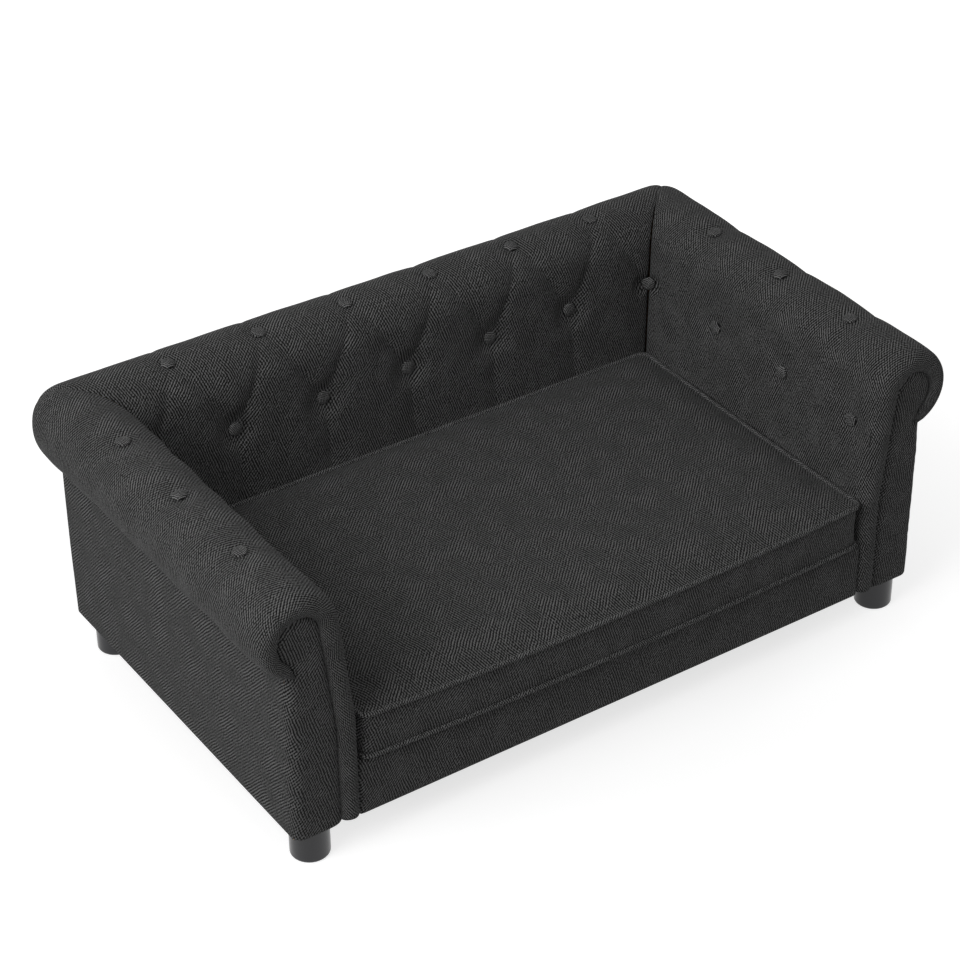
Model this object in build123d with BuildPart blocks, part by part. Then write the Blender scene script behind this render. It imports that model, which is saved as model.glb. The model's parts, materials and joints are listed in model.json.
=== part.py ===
from build123d import *
from math import asin, atan2, cos, degrees, hypot, radians, sin, sqrt
import os

# A low pet bed built like a small rolled-arm sofa: two arms and a back with one section,
# mitred at the corners, round a deck that carries a loose cushion. X runs along the
# width, Y from the front to the back and Z up from the floor. The origin is on the
# floor in the middle of the bed's box.

# The body, in millimetres
body_width = 950.0
body_depth = 558.0
overall_height = 395.0
foot_height = 46.0
rail_height = 82.0

# The rolls and the pads below them
roll_radius = 54.5
arm_roll_inset = 21.0
back_roll_inset = 22.0
pad_reach = 71.0
pad_foam = 22.0
cloth = 1.5
soft_gap = 0.3
mitre_gap = 0.4

# The wooden frame
base_board = 18.0
profile_board = 12.0
thin_panel = 4.0
deck_board = 12.0
rail_board = 15.0
bearer_width = 22.0
rib_spacing = 210.0
tube_wall = 3.0
dust_cloth_thickness = 1.2
wood_gap = 0.1

# The front: the layer in front of the boards
front_padding = 8.0
scroll_cover_thickness = 3.0
border_width = 28.0
border_proud = 6.0
border_round = 6.5
rail_edge_round = 1.2
scroll_round = 1.2

# The feet and their fastenings
foot_diameter = 50.0
foot_round = 4.0
foot_inset_x = 34.0
front_foot_inset = 28.5
rear_foot_inset = 37.0
stud_radius = 4.0
stud_in_foot = 18.0
thread_gap = 0.1
nut_wall = 1.5
nut_length = 12.0
nut_flange_radius = 11.0
nut_flange_thickness = 2.0
screw_radius = 2.0
screw_head_radius = 4.2
screw_length = 32.0
screw_end_inset = 45.0
screw_gap = 0.15
screws_in_row = 4

# The buttons and the tufting
button_radius = 9.5
button_edge = 2.4
button_dome = 2.0
shank_radius = 1.4
shank_gap = 0.4
lower_button_drop = 46.5
upper_button_angle = 100.0
left_upper_button_angle = 83.0
back_lower_depth = 9.0
back_lower_mouth = 27.0
back_upper_depth = 4.0
back_upper_mouth = 17.0
corner_depth = 3.0
corner_mouth = 10.5
arm_dimple_depth = 3.5
arm_dimple_mouth = 20.0
pleat_radius = 6.0
pleat_depth = 2.2
pleat_end_angle = 20.0
arm_tuft_pitch = 140.0
first_arm_tuft = 48.0
back_tuft_bays = 3

# The seat cushion
cushion_height = 65.0
cushion_crown = 9.0
cushion_depth_crown = 10.5
cushion_corner = 12.0
cushion_bulge = 8.0
cushion_waist = 3.0
side_clearance = 0.9
welt_proud = 1.8
welt_height = 5.0
welt_round = 1.2
seam_gap = 0.1
zip_side_room = 80.3
zip_opening = 13.0
zip_depth = 7.0
zip_tape = 1.0
zip_end_room = 10.0
teeth_height = 4.0
teeth_depth = 1.5
slider_length = 11.0
slider_height = 8.5
slider_depth = 3.2
slider_gap = 0.3
slider_round = 1.5
pull_length = 22.0
pull_height = 4.0
pull_thickness = 1.2

# One overrun for every cut that passes right through
overrun = 5.0

# Levels
roll_z = overall_height - roll_radius
deck_top = foot_height + rail_height
deck_board_top = deck_top - cloth
rail_top = deck_board_top - deck_board
board_bottom = foot_height + dust_cloth_thickness
base_board_top = board_bottom + base_board
cushion_seam = deck_top + cushion_height
lower_button_height = roll_z - lower_button_drop

# Places along the depth, from the front face of the body
front_reach = max(border_proud, cushion_bulge + welt_proud)
back_overhang = roll_radius - back_roll_inset
front_face = -(body_depth + front_reach + back_overhang) / 2 + front_reach
back_face = front_face + body_depth
back_roll_y = back_face - back_roll_inset
board_front = front_face + front_padding

# Places across the width
side_face = body_width / 2
arm_roll_x = side_face - arm_roll_inset

# Layers of an arm or the back, as how far each is pared in from the cloth's outside
foam_outside = cloth + soft_gap
foam_inside = foam_outside + pad_foam
frame_inset = foam_inside + soft_gap
board_inset = frame_inset + thin_panel
arm_neck = arm_roll_inset - cloth
back_neck = back_roll_inset - cloth
seat_side_x = arm_roll_x - pad_reach
seat_side_y = back_roll_y - pad_reach
frame_side_x = seat_side_x + frame_inset
frame_side_y = seat_side_y + frame_inset
tube_radius = roll_radius - frame_inset

# The planes that mitre the arms against the back
mitre_share = mitre_gap / 2 / sqrt(2)
arm_side_of_mitre = Plane(
    origin=(arm_roll_x + mitre_share, back_roll_y - mitre_share, 0),
    x_dir=(1, 1, 0),
    z_dir=(1, -1, 0),
)
back_side_of_mitre = Plane(
    origin=(arm_roll_x - mitre_share, back_roll_y + mitre_share, 0),
    x_dir=(1, 1, 0),
    z_dir=(1, -1, 0),
)
back_side_of_left_mitre = Plane(
    origin=(-arm_roll_x + mitre_share, back_roll_y + mitre_share, 0),
    x_dir=(-1, 1, 0),
    z_dir=(-1, -1, 0),
)


def arm_plane(y):
    """An upright plane across the right arm: its X runs outwards and its Y up."""
    return Plane(origin=(arm_roll_x, y, 0), x_dir=(1, 0, 0), z_dir=(0, -1, 0))


def back_plane(x):
    """An upright plane across the back: its X runs outwards, to the rear, and its Y up."""
    return Plane(origin=(x, back_roll_y, 0), x_dir=(0, 1, 0), z_dir=(1, 0, 0))


def lean(inset):
    """Degrees by which the seat side of the pad leans outwards above the cushion."""
    reach = pad_reach - inset
    rise = roll_z - cushion_seam
    return degrees(atan2(reach, rise) - asin((roll_radius - inset) / hypot(reach, rise)))


def pad_section(plane, inset, neck, base):
    """The section of an arm or the back: the roll, the leaning side and the upright side."""
    radius = roll_radius - inset
    start = 180 - lean(inset)
    end = degrees(asin(neck / radius)) - 90
    with BuildSketch(plane) as section:
        with BuildLine():
            roll = CenterArc((0, roll_z), radius, start, end - start)
            Polyline(
                roll @ 1,
                (neck, base),
                (inset - pad_reach, base),
                (inset - pad_reach, cushion_seam),
                roll @ 0,
            )
        make_face()
    return section.sketch


def tube_section(plane, radius):
    """A round section on the centre line of a roll."""
    with BuildSketch(plane) as section:
        with Locations((0, roll_z)):
            Circle(radius)
    return section.sketch


# Places on the seat side of a pad, each as how far out and up it is and where it faces
def spot_on_lean(height):
    """A place on the leaning side, at a height above the floor."""
    slope = radians(lean(0))
    along = (roll_z + roll_radius * sin(slope) - height) / cos(slope)
    out = -roll_radius * cos(slope) - along * sin(slope)
    return out, height, -cos(slope), sin(slope)


def spot_on_roll(angle):
    """A place on the roll, at an angle from the outward side over the top."""
    turn = radians(angle)
    return roll_radius * cos(turn), roll_z + roll_radius * sin(turn), cos(turn), sin(turn)


def spot_plane(place, facing, depth, x_dir):
    """The plane on a spot of the pad, moved inwards by a depth, with its Z facing out."""
    face = Plane(origin=place, x_dir=x_dir, z_dir=facing)
    return face.offset(-depth)


def back_spot(x, spot, depth):
    out, up, face_out, face_up = spot
    return spot_plane((x, back_roll_y + out, up), (0, face_out, face_up), depth, (1, 0, 0))


def arm_spot(y, spot, depth):
    out, up, face_out, face_up = spot
    return spot_plane((arm_roll_x + out, y, up), (face_out, 0, face_up), depth, (0, 1, 0))


def corner_spot(side, spot, depth):
    """A spot in the mitre of one corner, which faces the middle of the seat."""
    out, up, face_out, face_up = spot
    place = (side * (arm_roll_x + out), back_roll_y + out, up)
    return spot_plane(place, (side * face_out, face_out, face_up), depth, (1, -side, 0))


lower_spot = spot_on_lean(lower_button_height)
upper_spot = spot_on_roll(upper_button_angle)
left_upper_spot = spot_on_roll(left_upper_button_angle)
corner_x = arm_roll_x + lower_spot[0]
back_tuft_pitch = corner_x / back_tuft_bays
lower_columns = [i * back_tuft_pitch for i in range(1 - back_tuft_bays, back_tuft_bays)]
upper_columns = [(i + 0.5) * back_tuft_pitch for i in range(-back_tuft_bays, back_tuft_bays)]
arm_lower_rows = [front_face + first_arm_tuft + i * arm_tuft_pitch for i in range(3)]
arm_upper_rows = [y + arm_tuft_pitch / 2 for y in arm_lower_rows]


# Each group of buttons, as the planes at a depth below the cloth
def back_lower_planes(depth):
    return [back_spot(x, lower_spot, depth) for x in lower_columns]


def corner_planes(depth):
    return [corner_spot(side, lower_spot, depth) for side in (-1, 1)]


def back_upper_planes(depth):
    return [back_spot(x, upper_spot, depth) for x in upper_columns]


def arm_planes(upper, depth):
    """The planes of an arm's buttons, with the upper row at a given spot of the roll."""
    lower = [arm_spot(y, lower_spot, depth) for y in arm_lower_rows]
    return lower + [arm_spot(y, upper, depth) for y in arm_upper_rows]


def hollow_radius(depth, mouth):
    """The radius of a round hollow from its depth and the radius of its mouth."""
    return (mouth**2 + depth**2) / (2 * depth)


def dimples(planes, depth, mouth, inset):
    """Round hollows pressed in by buttons. The cloth keeps its thickness in them."""
    radius = hollow_radius(depth, mouth)
    for plane in planes:
        with Locations(plane.offset(radius)):
            Sphere(radius + inset, mode=Mode.SUBTRACT)


def pleat(path, inset):
    """A sewn fold: a round groove along a path that runs just off the cloth."""
    with BuildSketch(Plane(origin=path @ 0, z_dir=path % 0)) as groove:
        Circle(pleat_radius + inset)
    sweep(groove.sketch, path=path, mode=Mode.SUBTRACT)


def back_point(x, spot):
    """The place of a fold's centre line over a spot of the back."""
    return back_spot(x, spot, pleat_depth - pleat_radius).origin


def slanted_path(x, reach):
    """The centre line of a fold from a lower button up to an upper one, sideways by a reach."""
    bend_angle = 180 - lean(0)
    bend_spot = spot_on_roll(bend_angle)
    rise = (bend_spot[1] - lower_button_height) / cos(radians(lean(0)))
    over_roll = roll_radius * radians(bend_angle - upper_button_angle)
    bend_share = over_roll / (rise + over_roll)
    with BuildLine(mode=Mode.PRIVATE) as path:
        straight = Line(
            back_point(x + reach, lower_spot), back_point(x + reach * bend_share, bend_spot)
        )
        TangentArc(straight @ 1, back_point(x, upper_spot), tangent=straight % 1)
    return path.wires()[0]


def back_pleats(inset):
    """The folds of the back: from button to button, down to the seat and over the roll."""
    foot_spot = spot_on_lean(cushion_seam)
    top_spot = spot_on_roll((upper_button_angle + pleat_end_angle) / 2)
    end_spot = spot_on_roll(pleat_end_angle)
    for x in lower_columns:
        low = back_point(x, lower_spot)
        pleat(Line(low, back_point(x, foot_spot), mode=Mode.PRIVATE), inset)
    for x in upper_columns:
        high = back_point(x, upper_spot)
        for side in (-1, 1):
            pleat(slanted_path(x, side * back_tuft_pitch / 2), inset)
        over = ThreePointArc(
            high, back_point(x, top_spot), back_point(x, end_spot), mode=Mode.PRIVATE
        )
        pleat(over, inset)


def arm_prism(section, front):
    """A section drawn behind the right arm, drawn forwards to a front and cut by the mitre."""
    with BuildPart() as prism:
        extrude(section, amount=arm_rear - front)
        split(bisect_by=arm_side_of_mitre, keep=Keep.TOP)
    return prism.part


def back_prism(section):
    """A section drawn beside the back, drawn across it and cut by both mitres."""
    with BuildPart() as prism:
        extrude(section, amount=2 * back_end)
        split(bisect_by=back_side_of_mitre, keep=Keep.BOTTOM)
        split(bisect_by=back_side_of_left_mitre, keep=Keep.BOTTOM)
    return prism.part


arm_rear = back_face + back_overhang + overrun
back_end = side_face + roll_radius + overrun
arm_section_plane = arm_plane(arm_rear)
back_section_plane = back_plane(-back_end)


def arm_form(upper, inset):
    """The soft shape of a right arm with its dimples, pared by an inset."""
    with BuildPart() as form:
        add(arm_prism(pad_section(arm_section_plane, inset, arm_neck, deck_top), board_front))
        hollows = arm_planes(upper, arm_dimple_depth)
        dimples(hollows, arm_dimple_depth, arm_dimple_mouth, inset)
        dimples(corner_planes(corner_depth), corner_depth, corner_mouth, inset)
    return form.part


def back_form(inset):
    """The soft shape of the back with its dimples and folds, pared by an inset."""
    with BuildPart() as form:
        add(back_prism(pad_section(back_section_plane, inset, back_neck, deck_top)))
        dimples(back_lower_planes(back_lower_depth), back_lower_depth, back_lower_mouth, inset)
        dimples(corner_planes(corner_depth), corner_depth, corner_mouth, inset)
        dimples(back_upper_planes(back_upper_depth), back_upper_depth, back_upper_mouth, inset)
        back_pleats(inset)
    return form.part


def shank_holes(planes):
    """Holes for the shanks of the buttons, through the cloth and the foam."""
    for plane in planes:
        with Locations(plane):
            Cylinder(shank_radius + shank_gap, 2 * frame_inset, mode=Mode.SUBTRACT)


def seat_of_button(depth, mouth):
    """How far below the cloth a button's flat back lies in its hollow."""
    radius = hollow_radius(depth, mouth)
    return depth - radius + sqrt(radius**2 - button_radius**2) - soft_gap


def button(seat):
    """A covered button with its shank, whose flat back is at Z zero."""
    shank_end = seat - frame_inset + wood_gap
    top = button_edge + button_dome
    with BuildPart() as shape:
        with BuildSketch(Plane.XZ):
            with BuildLine():
                TangentArc((0, top), (button_radius, button_edge), tangent=(1, 0))
                Polyline(
                    (button_radius, button_edge),
                    (button_radius, 0),
                    (shank_radius, 0),
                    (shank_radius, shank_end),
                    (0, shank_end),
                    (0, top),
                )
            make_face()
        revolve(axis=Axis.Z)
    return shape.part


def buttons(*rows):
    """A group of buttons, each in its hollow. A row is its planes and its hollows' size."""
    with BuildPart() as group:
        for planes_at, depth, mouth in rows:
            seat = seat_of_button(depth, mouth)
            with Locations(*planes_at(seat)):
                add(button(seat))
    return group.part


def block(low, high):
    """A plain board or sheet between two corners."""
    size = [b - a for a, b in zip(low, high)]
    with BuildPart() as board:
        with Locations(low):
            Box(*size, align=(Align.MIN, Align.MIN, Align.MIN))
    return board.part


def other_side(piece):
    """The same piece on the other side of the bed."""
    return mirror(piece, about=Plane.YZ)


# The feet stand under the base boards of the arms
foot_x = side_face - foot_inset_x
foot_rows = {"front": front_face + front_foot_inset, "rear": back_face - rear_foot_inset}
foot_points = [(side * foot_x, y) for side in (-1, 1) for y in foot_rows.values()]
nut_bore = stud_radius + thread_gap
nut_radius = nut_bore + nut_wall


def foot(x, y):
    """A round foot with a blind hole for its stud."""
    with BuildPart() as shape:
        with BuildSketch(Plane.XY):
            with Locations((x, y)):
                Circle(foot_diameter / 2)
        extrude(amount=foot_height)
        fillet(shape.edges().sort_by(Axis.Z)[0], foot_round)
        with Locations((x, y, foot_height)):
            Hole(nut_bore, depth=stud_in_foot)
    return shape.part


def at_height(points, z):
    """The same points at a height."""
    return [(x, y, z) for x, y in points]


with BuildPart() as foot_studs:
    with Locations(*at_height(foot_points, foot_height - stud_in_foot)):
        Cylinder(
            stud_radius,
            base_board_top - wood_gap - foot_height + stud_in_foot,
            align=(Align.CENTER, Align.CENTER, Align.MIN),
        )

flange_top = base_board_top - wood_gap
with BuildPart() as tee_nuts:
    with BuildSketch(Plane.XY.offset(flange_top - nut_length)):
        with Locations(*foot_points):
            Circle(nut_radius)
    extrude(amount=nut_length)
    with BuildSketch(Plane.XY.offset(flange_top - nut_flange_thickness)):
        with Locations(*foot_points):
            Circle(nut_flange_radius)
    extrude(amount=nut_flange_thickness)
    with Locations(*at_height(foot_points, flange_top)):
        Hole(nut_bore, depth=nut_length)

with BuildPart() as arm_base_board:
    add(
        block(
            (frame_side_x, board_front, board_bottom),
            (arm_roll_x + arm_neck, back_face - cloth, base_board_top),
        )
    )
    with Locations(*[(foot_x, y, base_board_top) for y in foot_rows.values()]):
        CounterBoreHole(
            nut_radius + wood_gap,
            nut_flange_radius + wood_gap,
            nut_flange_thickness + wood_gap,
        )

# The wooden frame of an arm
tube_hole = tube_section(arm_section_plane, tube_radius + wood_gap)
board_section = pad_section(
    arm_section_plane, board_inset + wood_gap, arm_neck - thin_panel - wood_gap, base_board_top
)


def profile_board_at(section, y):
    """A board cut to a section, one board thick, whose front face is at Y."""
    with BuildPart() as board:
        extrude(section, amount=arm_rear - y)
        split(bisect_by=Plane.XZ.offset(-y - profile_board), keep=Keep.TOP)
    return board.part


with BuildPart() as arm_front_board:
    add(profile_board_at(board_section, board_front))
    add(profile_board_at(tube_section(arm_section_plane, tube_radius), board_front))

with BuildPart() as arm_rear_board:
    add(profile_board_at(board_section, frame_side_y - profile_board))
    extrude(tube_hole, amount=arm_rear, mode=Mode.SUBTRACT)

tube_front = board_front + profile_board
with BuildPart() as arm_roll_tube:
    add(arm_prism(tube_section(arm_section_plane, tube_radius), tube_front))
    add(
        arm_prism(tube_section(arm_section_plane, tube_radius - tube_wall), tube_front - overrun),
        mode=Mode.SUBTRACT,
    )

with BuildPart() as arm_inner_panel:
    add(
        arm_prism(
            pad_section(arm_section_plane, frame_inset, arm_neck, base_board_top), board_front
        )
    )
    add(
        arm_prism(
            pad_section(arm_section_plane, board_inset, arm_neck, foot_height),
            board_front - overrun,
        ),
        mode=Mode.SUBTRACT,
    )
    add(arm_prism(tube_hole, board_front - overrun), mode=Mode.SUBTRACT)


def strip_section(plane, out, thickness, base, roll):
    """The section of an upright sheet that ends below a roll of a given radius."""
    with BuildSketch(plane) as section:
        with Locations((out, base)):
            Rectangle(thickness, roll_z - base, align=(Align.MAX, Align.MIN))
        with Locations((0, roll_z)):
            Circle(roll, mode=Mode.SUBTRACT)
    return section.sketch


outer_panel_rear = back_face - cloth - thin_panel - wood_gap
with BuildPart() as arm_outer_panel:
    extrude(
        strip_section(
            arm_plane(outer_panel_rear),
            arm_neck,
            thin_panel,
            base_board_top,
            tube_radius + wood_gap,
        ),
        amount=outer_panel_rear - board_front,
    )

with BuildPart() as arm_outer_cover:
    extrude(
        strip_section(
            arm_plane(back_face - cloth),
            arm_roll_inset,
            cloth,
            foot_height,
            roll_radius + soft_gap,
        ),
        amount=body_depth - cloth,
    )


def arm_upholstery(upper):
    """The padding, the cloth and the buttons of a right arm, from the spot of its upper row."""
    with BuildPart() as foam:
        add(arm_form(upper, foam_outside))
        add(
            arm_prism(
                pad_section(arm_section_plane, foam_inside, arm_neck, foot_height),
                board_front - overrun,
            ),
            mode=Mode.SUBTRACT,
        )
        shank_holes(arm_planes(upper, 0) + corner_planes(0))
    with BuildPart() as cover:
        add(arm_form(upper, 0))
        add(arm_form(upper, cloth), mode=Mode.SUBTRACT)
        shank_holes(arm_planes(upper, 0) + corner_planes(0))
    caps = buttons((lambda seat: arm_planes(upper, seat), arm_dimple_depth, arm_dimple_mouth))
    return {"foam": foam.part, "cover": cover.part, "buttons": caps}


with BuildPart() as arm_scroll_border:
    extrude(
        pad_section(arm_plane(board_front), 0, arm_neck, foot_height),
        amount=front_padding + border_proud,
    )
    extrude(
        pad_section(arm_plane(board_front), border_width, arm_neck, foot_height - overrun),
        amount=front_padding + border_proud + overrun,
        mode=Mode.SUBTRACT,
    )
    fillet(arm_scroll_border.faces().sort_by(Axis.Y)[0].edges(), border_round)


def scroll_layer(back, thickness):
    """A layer of the panel inside the border, from its rear face at Y forwards."""
    with BuildPart() as layer:
        extrude(
            pad_section(arm_plane(back), border_width + wood_gap, arm_neck, foot_height),
            amount=thickness,
        )
    return layer.part


arm_scroll_panel = scroll_layer(board_front, front_padding - scroll_cover_thickness)
with BuildPart() as arm_scroll_cover:
    add(scroll_layer(front_face + scroll_cover_thickness, scroll_cover_thickness))
    fillet(arm_scroll_cover.faces().sort_by(Axis.Y)[0].edges(), scroll_round)

# The frame of the back
back_base_board = block(
    (wood_gap - frame_side_x, frame_side_y, board_bottom),
    (frame_side_x - wood_gap, back_face - cloth, base_board_top),
)
back_tube_hole = tube_section(back_section_plane, tube_radius + wood_gap)

with BuildPart() as back_ribs:
    for x in (-rib_spacing, 0, rib_spacing):
        extrude(
            pad_section(
                back_plane(x - profile_board / 2),
                board_inset + wood_gap,
                back_neck - thin_panel - wood_gap,
                base_board_top,
            ),
            amount=profile_board,
        )
    extrude(back_tube_hole, amount=2 * back_end, mode=Mode.SUBTRACT)

with BuildPart() as back_roll_tube:
    add(back_prism(tube_section(back_section_plane, tube_radius)))
    extrude(
        tube_section(back_section_plane, tube_radius - tube_wall),
        amount=2 * back_end,
        mode=Mode.SUBTRACT,
    )

with BuildPart() as back_inner_panel:
    add(back_prism(pad_section(back_section_plane, frame_inset, back_neck, base_board_top)))
    extrude(
        pad_section(back_section_plane, board_inset, back_neck, foot_height),
        amount=2 * back_end,
        mode=Mode.SUBTRACT,
    )
    extrude(back_tube_hole, amount=2 * back_end, mode=Mode.SUBTRACT)

with BuildPart() as back_outer_panel:
    extrude(
        strip_section(
            back_plane(cloth - side_face),
            back_neck,
            thin_panel,
            base_board_top,
            tube_radius + wood_gap,
        ),
        amount=2 * (side_face - cloth),
    )

with BuildPart() as back_outer_cover:
    extrude(
        strip_section(
            back_plane(-side_face), back_roll_inset, cloth, foot_height, roll_radius + soft_gap
        ),
        amount=body_width,
    )

# The padding and the cloth of the back
back_shank_planes = back_lower_planes(0) + back_upper_planes(0) + corner_planes(0)
with BuildPart() as back_foam:
    add(back_form(foam_outside))
    extrude(
        pad_section(back_section_plane, foam_inside, back_neck, foot_height),
        amount=2 * back_end,
        mode=Mode.SUBTRACT,
    )
    shank_holes(back_shank_planes)

with BuildPart() as back_cover:
    add(back_form(0))
    add(back_form(cloth), mode=Mode.SUBTRACT)
    shank_holes(back_shank_planes)

# The base: rails, bearer, deck and cloth
rail_end = frame_side_x - wood_gap
rail_back = frame_side_y - wood_gap
inner_front = board_front + rail_board + wood_gap
inner_back = rail_back - rail_board - wood_gap
screw_span = 2 * (rail_end - screw_end_inset)
screw_rows = [board_front + rail_board / 2, rail_back - rail_board / 2]
screw_points = [
    (screw_span * (i / (screws_in_row - 1) - 0.5), y)
    for y in screw_rows
    for i in range(screws_in_row)
]
screw_hole = screw_radius + screw_gap
screw_depth = screw_length - deck_board


def rail(front, back):
    """A rail across the bed, with the holes of its screws."""
    with BuildPart() as shape:
        add(block((-rail_end, front, board_bottom), (rail_end, back, rail_top)))
        with Locations(*[(x, y, rail_top) for x, y in screw_points if front < y < back]):
            Hole(screw_hole, depth=screw_depth + screw_gap)
    return shape.part


front_rail = rail(board_front, board_front + rail_board)
rear_rail = rail(rail_back - rail_board, rail_back)

with BuildPart() as side_rails:
    add(
        block(
            (rail_end - rail_board, inner_front, board_bottom), (rail_end, inner_back, rail_top)
        )
    )
    mirror(about=Plane.YZ)

centre_bearer = block(
    (-bearer_width / 2, inner_front, board_bottom), (bearer_width / 2, inner_back, rail_top)
)

with BuildPart() as seat_deck:
    add(block((-rail_end, board_front, rail_top), (rail_end, rail_back, deck_board_top)))
    with Locations(*at_height(screw_points, deck_board_top)):
        CounterSinkHole(screw_hole, screw_head_radius + screw_gap, counter_sink_angle=90)

with BuildPart() as deck_screws:
    with Locations(*at_height(screw_points, deck_board_top - screw_length)):
        Cylinder(screw_radius, screw_length, align=(Align.CENTER, Align.CENTER, Align.MIN))
    with Locations(*at_height(screw_points, deck_board_top)):
        Cone(
            screw_radius,
            screw_head_radius,
            screw_head_radius - screw_radius,
            align=(Align.CENTER, Align.CENTER, Align.MAX),
        )

deck_cloth = block(
    (-rail_end, board_front, deck_board_top), (rail_end, rail_back, deck_top)
)

with BuildPart() as dust_cloth:
    add(
        block(
            (cloth - side_face, board_front, foot_height),
            (side_face - cloth, back_face - cloth, board_bottom),
        )
    )
    with Locations(*at_height(foot_points, board_bottom)):
        Hole(nut_radius, depth=dust_cloth_thickness)

cover_end = seat_side_x - soft_gap
front_rail_foam = block(
    (-cover_end, front_face + foam_outside, foot_height + foam_outside),
    (cover_end, board_front, deck_board_top - soft_gap),
)

with BuildPart() as front_rail_cover:
    add(block((-cover_end, front_face, foot_height), (cover_end, board_front, deck_top)))
    fillet(
        front_rail_cover.edges().filter_by(Axis.X).group_by(Axis.Y)[0], rail_edge_round
    )
    add(
        block(
            (-cover_end - overrun, front_face + cloth, foot_height + cloth),
            (cover_end + overrun, board_front + overrun, deck_board_top),
        ),
        mode=Mode.SUBTRACT,
    )

# The seat cushion. Its plan has a bowed front, waisted sides and a straight back
cushion_bottom = deck_top + soft_gap
cushion_side = seat_side_x - side_clearance - welt_proud
cushion_back = seat_side_y - side_clearance - welt_proud
cushion_middle = (front_face + cushion_back) / 2
zip_length = 2 * (cushion_side - zip_side_room)
zip_z = (cushion_bottom + cushion_seam) / 2


def cushion_plan(plane, inset):
    """The plan of the cushion, pared by an inset."""
    side = cushion_side - inset
    front = front_face + inset
    back = cushion_back - inset
    with BuildSketch(plane) as plan:
        with BuildLine():
            ThreePointArc((-side, front), (0, front - cushion_bulge), (side, front))
            ThreePointArc((side, front), (side - cushion_waist, cushion_middle), (side, back))
            Line((side, back), (-side, back))
            ThreePointArc((-side, back), (cushion_waist - side, cushion_middle), (-side, front))
        make_face()
        fillet(plan.vertices(), cushion_corner - inset)
    return plan.sketch


def crown_section(plane, low, high, crown, inset):
    """The side view of the cushion between two ends, flat below and crowned above."""
    bottom = cushion_bottom + inset
    seam = cushion_seam - inset
    with BuildSketch(plane) as section:
        with BuildLine():
            Polyline((low, seam), (low, bottom), (high, bottom), (high, seam))
            ThreePointArc((high, seam), ((low + high) / 2, seam + crown), (low, seam))
        make_face()
    return section.sketch


def cushion_form(inset):
    """The whole cushion, pared by an inset."""
    reach = body_width
    side = cushion_side + welt_proud
    front = front_face - cushion_bulge - welt_proud
    with BuildPart() as form:
        extrude(
            cushion_plan(Plane.XY.offset(cushion_bottom + inset), inset), amount=2 * cushion_height
        )
        extrude(
            crown_section(Plane.XZ, -side, side, cushion_crown, inset),
            amount=reach,
            both=True,
            mode=Mode.INTERSECT,
        )
        extrude(
            crown_section(
                Plane.YZ, front, cushion_back + welt_proud, cushion_depth_crown, inset
            ),
            amount=reach,
            both=True,
            mode=Mode.INTERSECT,
        )
    return form.part


def zip_box(half_length, half_height, depth):
    """A box sunk into the back of the cushion, centred on the zip."""
    return block(
        (-half_length, cushion_back - depth, zip_z - half_height),
        (half_length, cushion_back + overrun, zip_z + half_height),
    )


zip_half = zip_length / 2 + zip_end_room
zip_half_height = zip_opening / 2 - seam_gap
tape_face = cushion_back - zip_depth + zip_tape
cushion_skin = cushion_form(0) - cushion_form(cloth)
top_seam = Plane.XY.offset(cushion_seam - 2 * cloth)
bottom_seam = Plane.XY.offset(cushion_bottom + cloth)

with BuildPart() as cushion_foam:
    add(cushion_form(foam_outside))
    add(
        zip_box(zip_half + soft_gap, zip_opening / 2 + soft_gap, zip_depth + soft_gap),
        mode=Mode.SUBTRACT,
    )

with BuildPart() as cushion_top:
    add(cushion_skin)
    split(bisect_by=top_seam, keep=Keep.TOP)

with BuildPart() as cushion_bottom_panel:
    add(cushion_skin)
    split(bisect_by=bottom_seam, keep=Keep.BOTTOM)

with BuildPart() as cushion_band:
    add(cushion_skin)
    split(bisect_by=top_seam, keep=Keep.BOTTOM)
    split(bisect_by=bottom_seam, keep=Keep.TOP)
    add(zip_box(zip_half + seam_gap, zip_opening / 2, 2 * cloth), mode=Mode.SUBTRACT)


def welt(base):
    """A raised seam round the cushion, from a base upwards."""
    with BuildPart() as ring:
        extrude(cushion_plan(Plane.XY.offset(base), -welt_proud), amount=welt_height)
        fillet(
            ring.edges().group_by(Axis.Z)[0] + ring.edges().group_by(Axis.Z)[-1], welt_round
        )
        extrude(
            cushion_plan(Plane.XY.offset(base - overrun), -seam_gap),
            amount=welt_height + 2 * overrun,
            mode=Mode.SUBTRACT,
        )
    return ring.part


with BuildPart() as cushion_welts:
    add(welt(cushion_seam - welt_height))
    add(welt(cushion_bottom))

with BuildPart() as cushion_zip:
    add(
        block(
            (-zip_half, cushion_back - zip_depth, zip_z - zip_half_height),
            (zip_half, cushion_back, zip_z + zip_half_height),
        )
    )
    add(
        zip_box(zip_half + overrun, zip_half_height - zip_tape, zip_depth - zip_tape),
        mode=Mode.SUBTRACT,
    )
    add(
        block(
            (-zip_half, tape_face - zip_tape, zip_z - teeth_height / 2),
            (zip_half, tape_face + teeth_depth, zip_z + teeth_height / 2),
        )
    )

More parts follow.
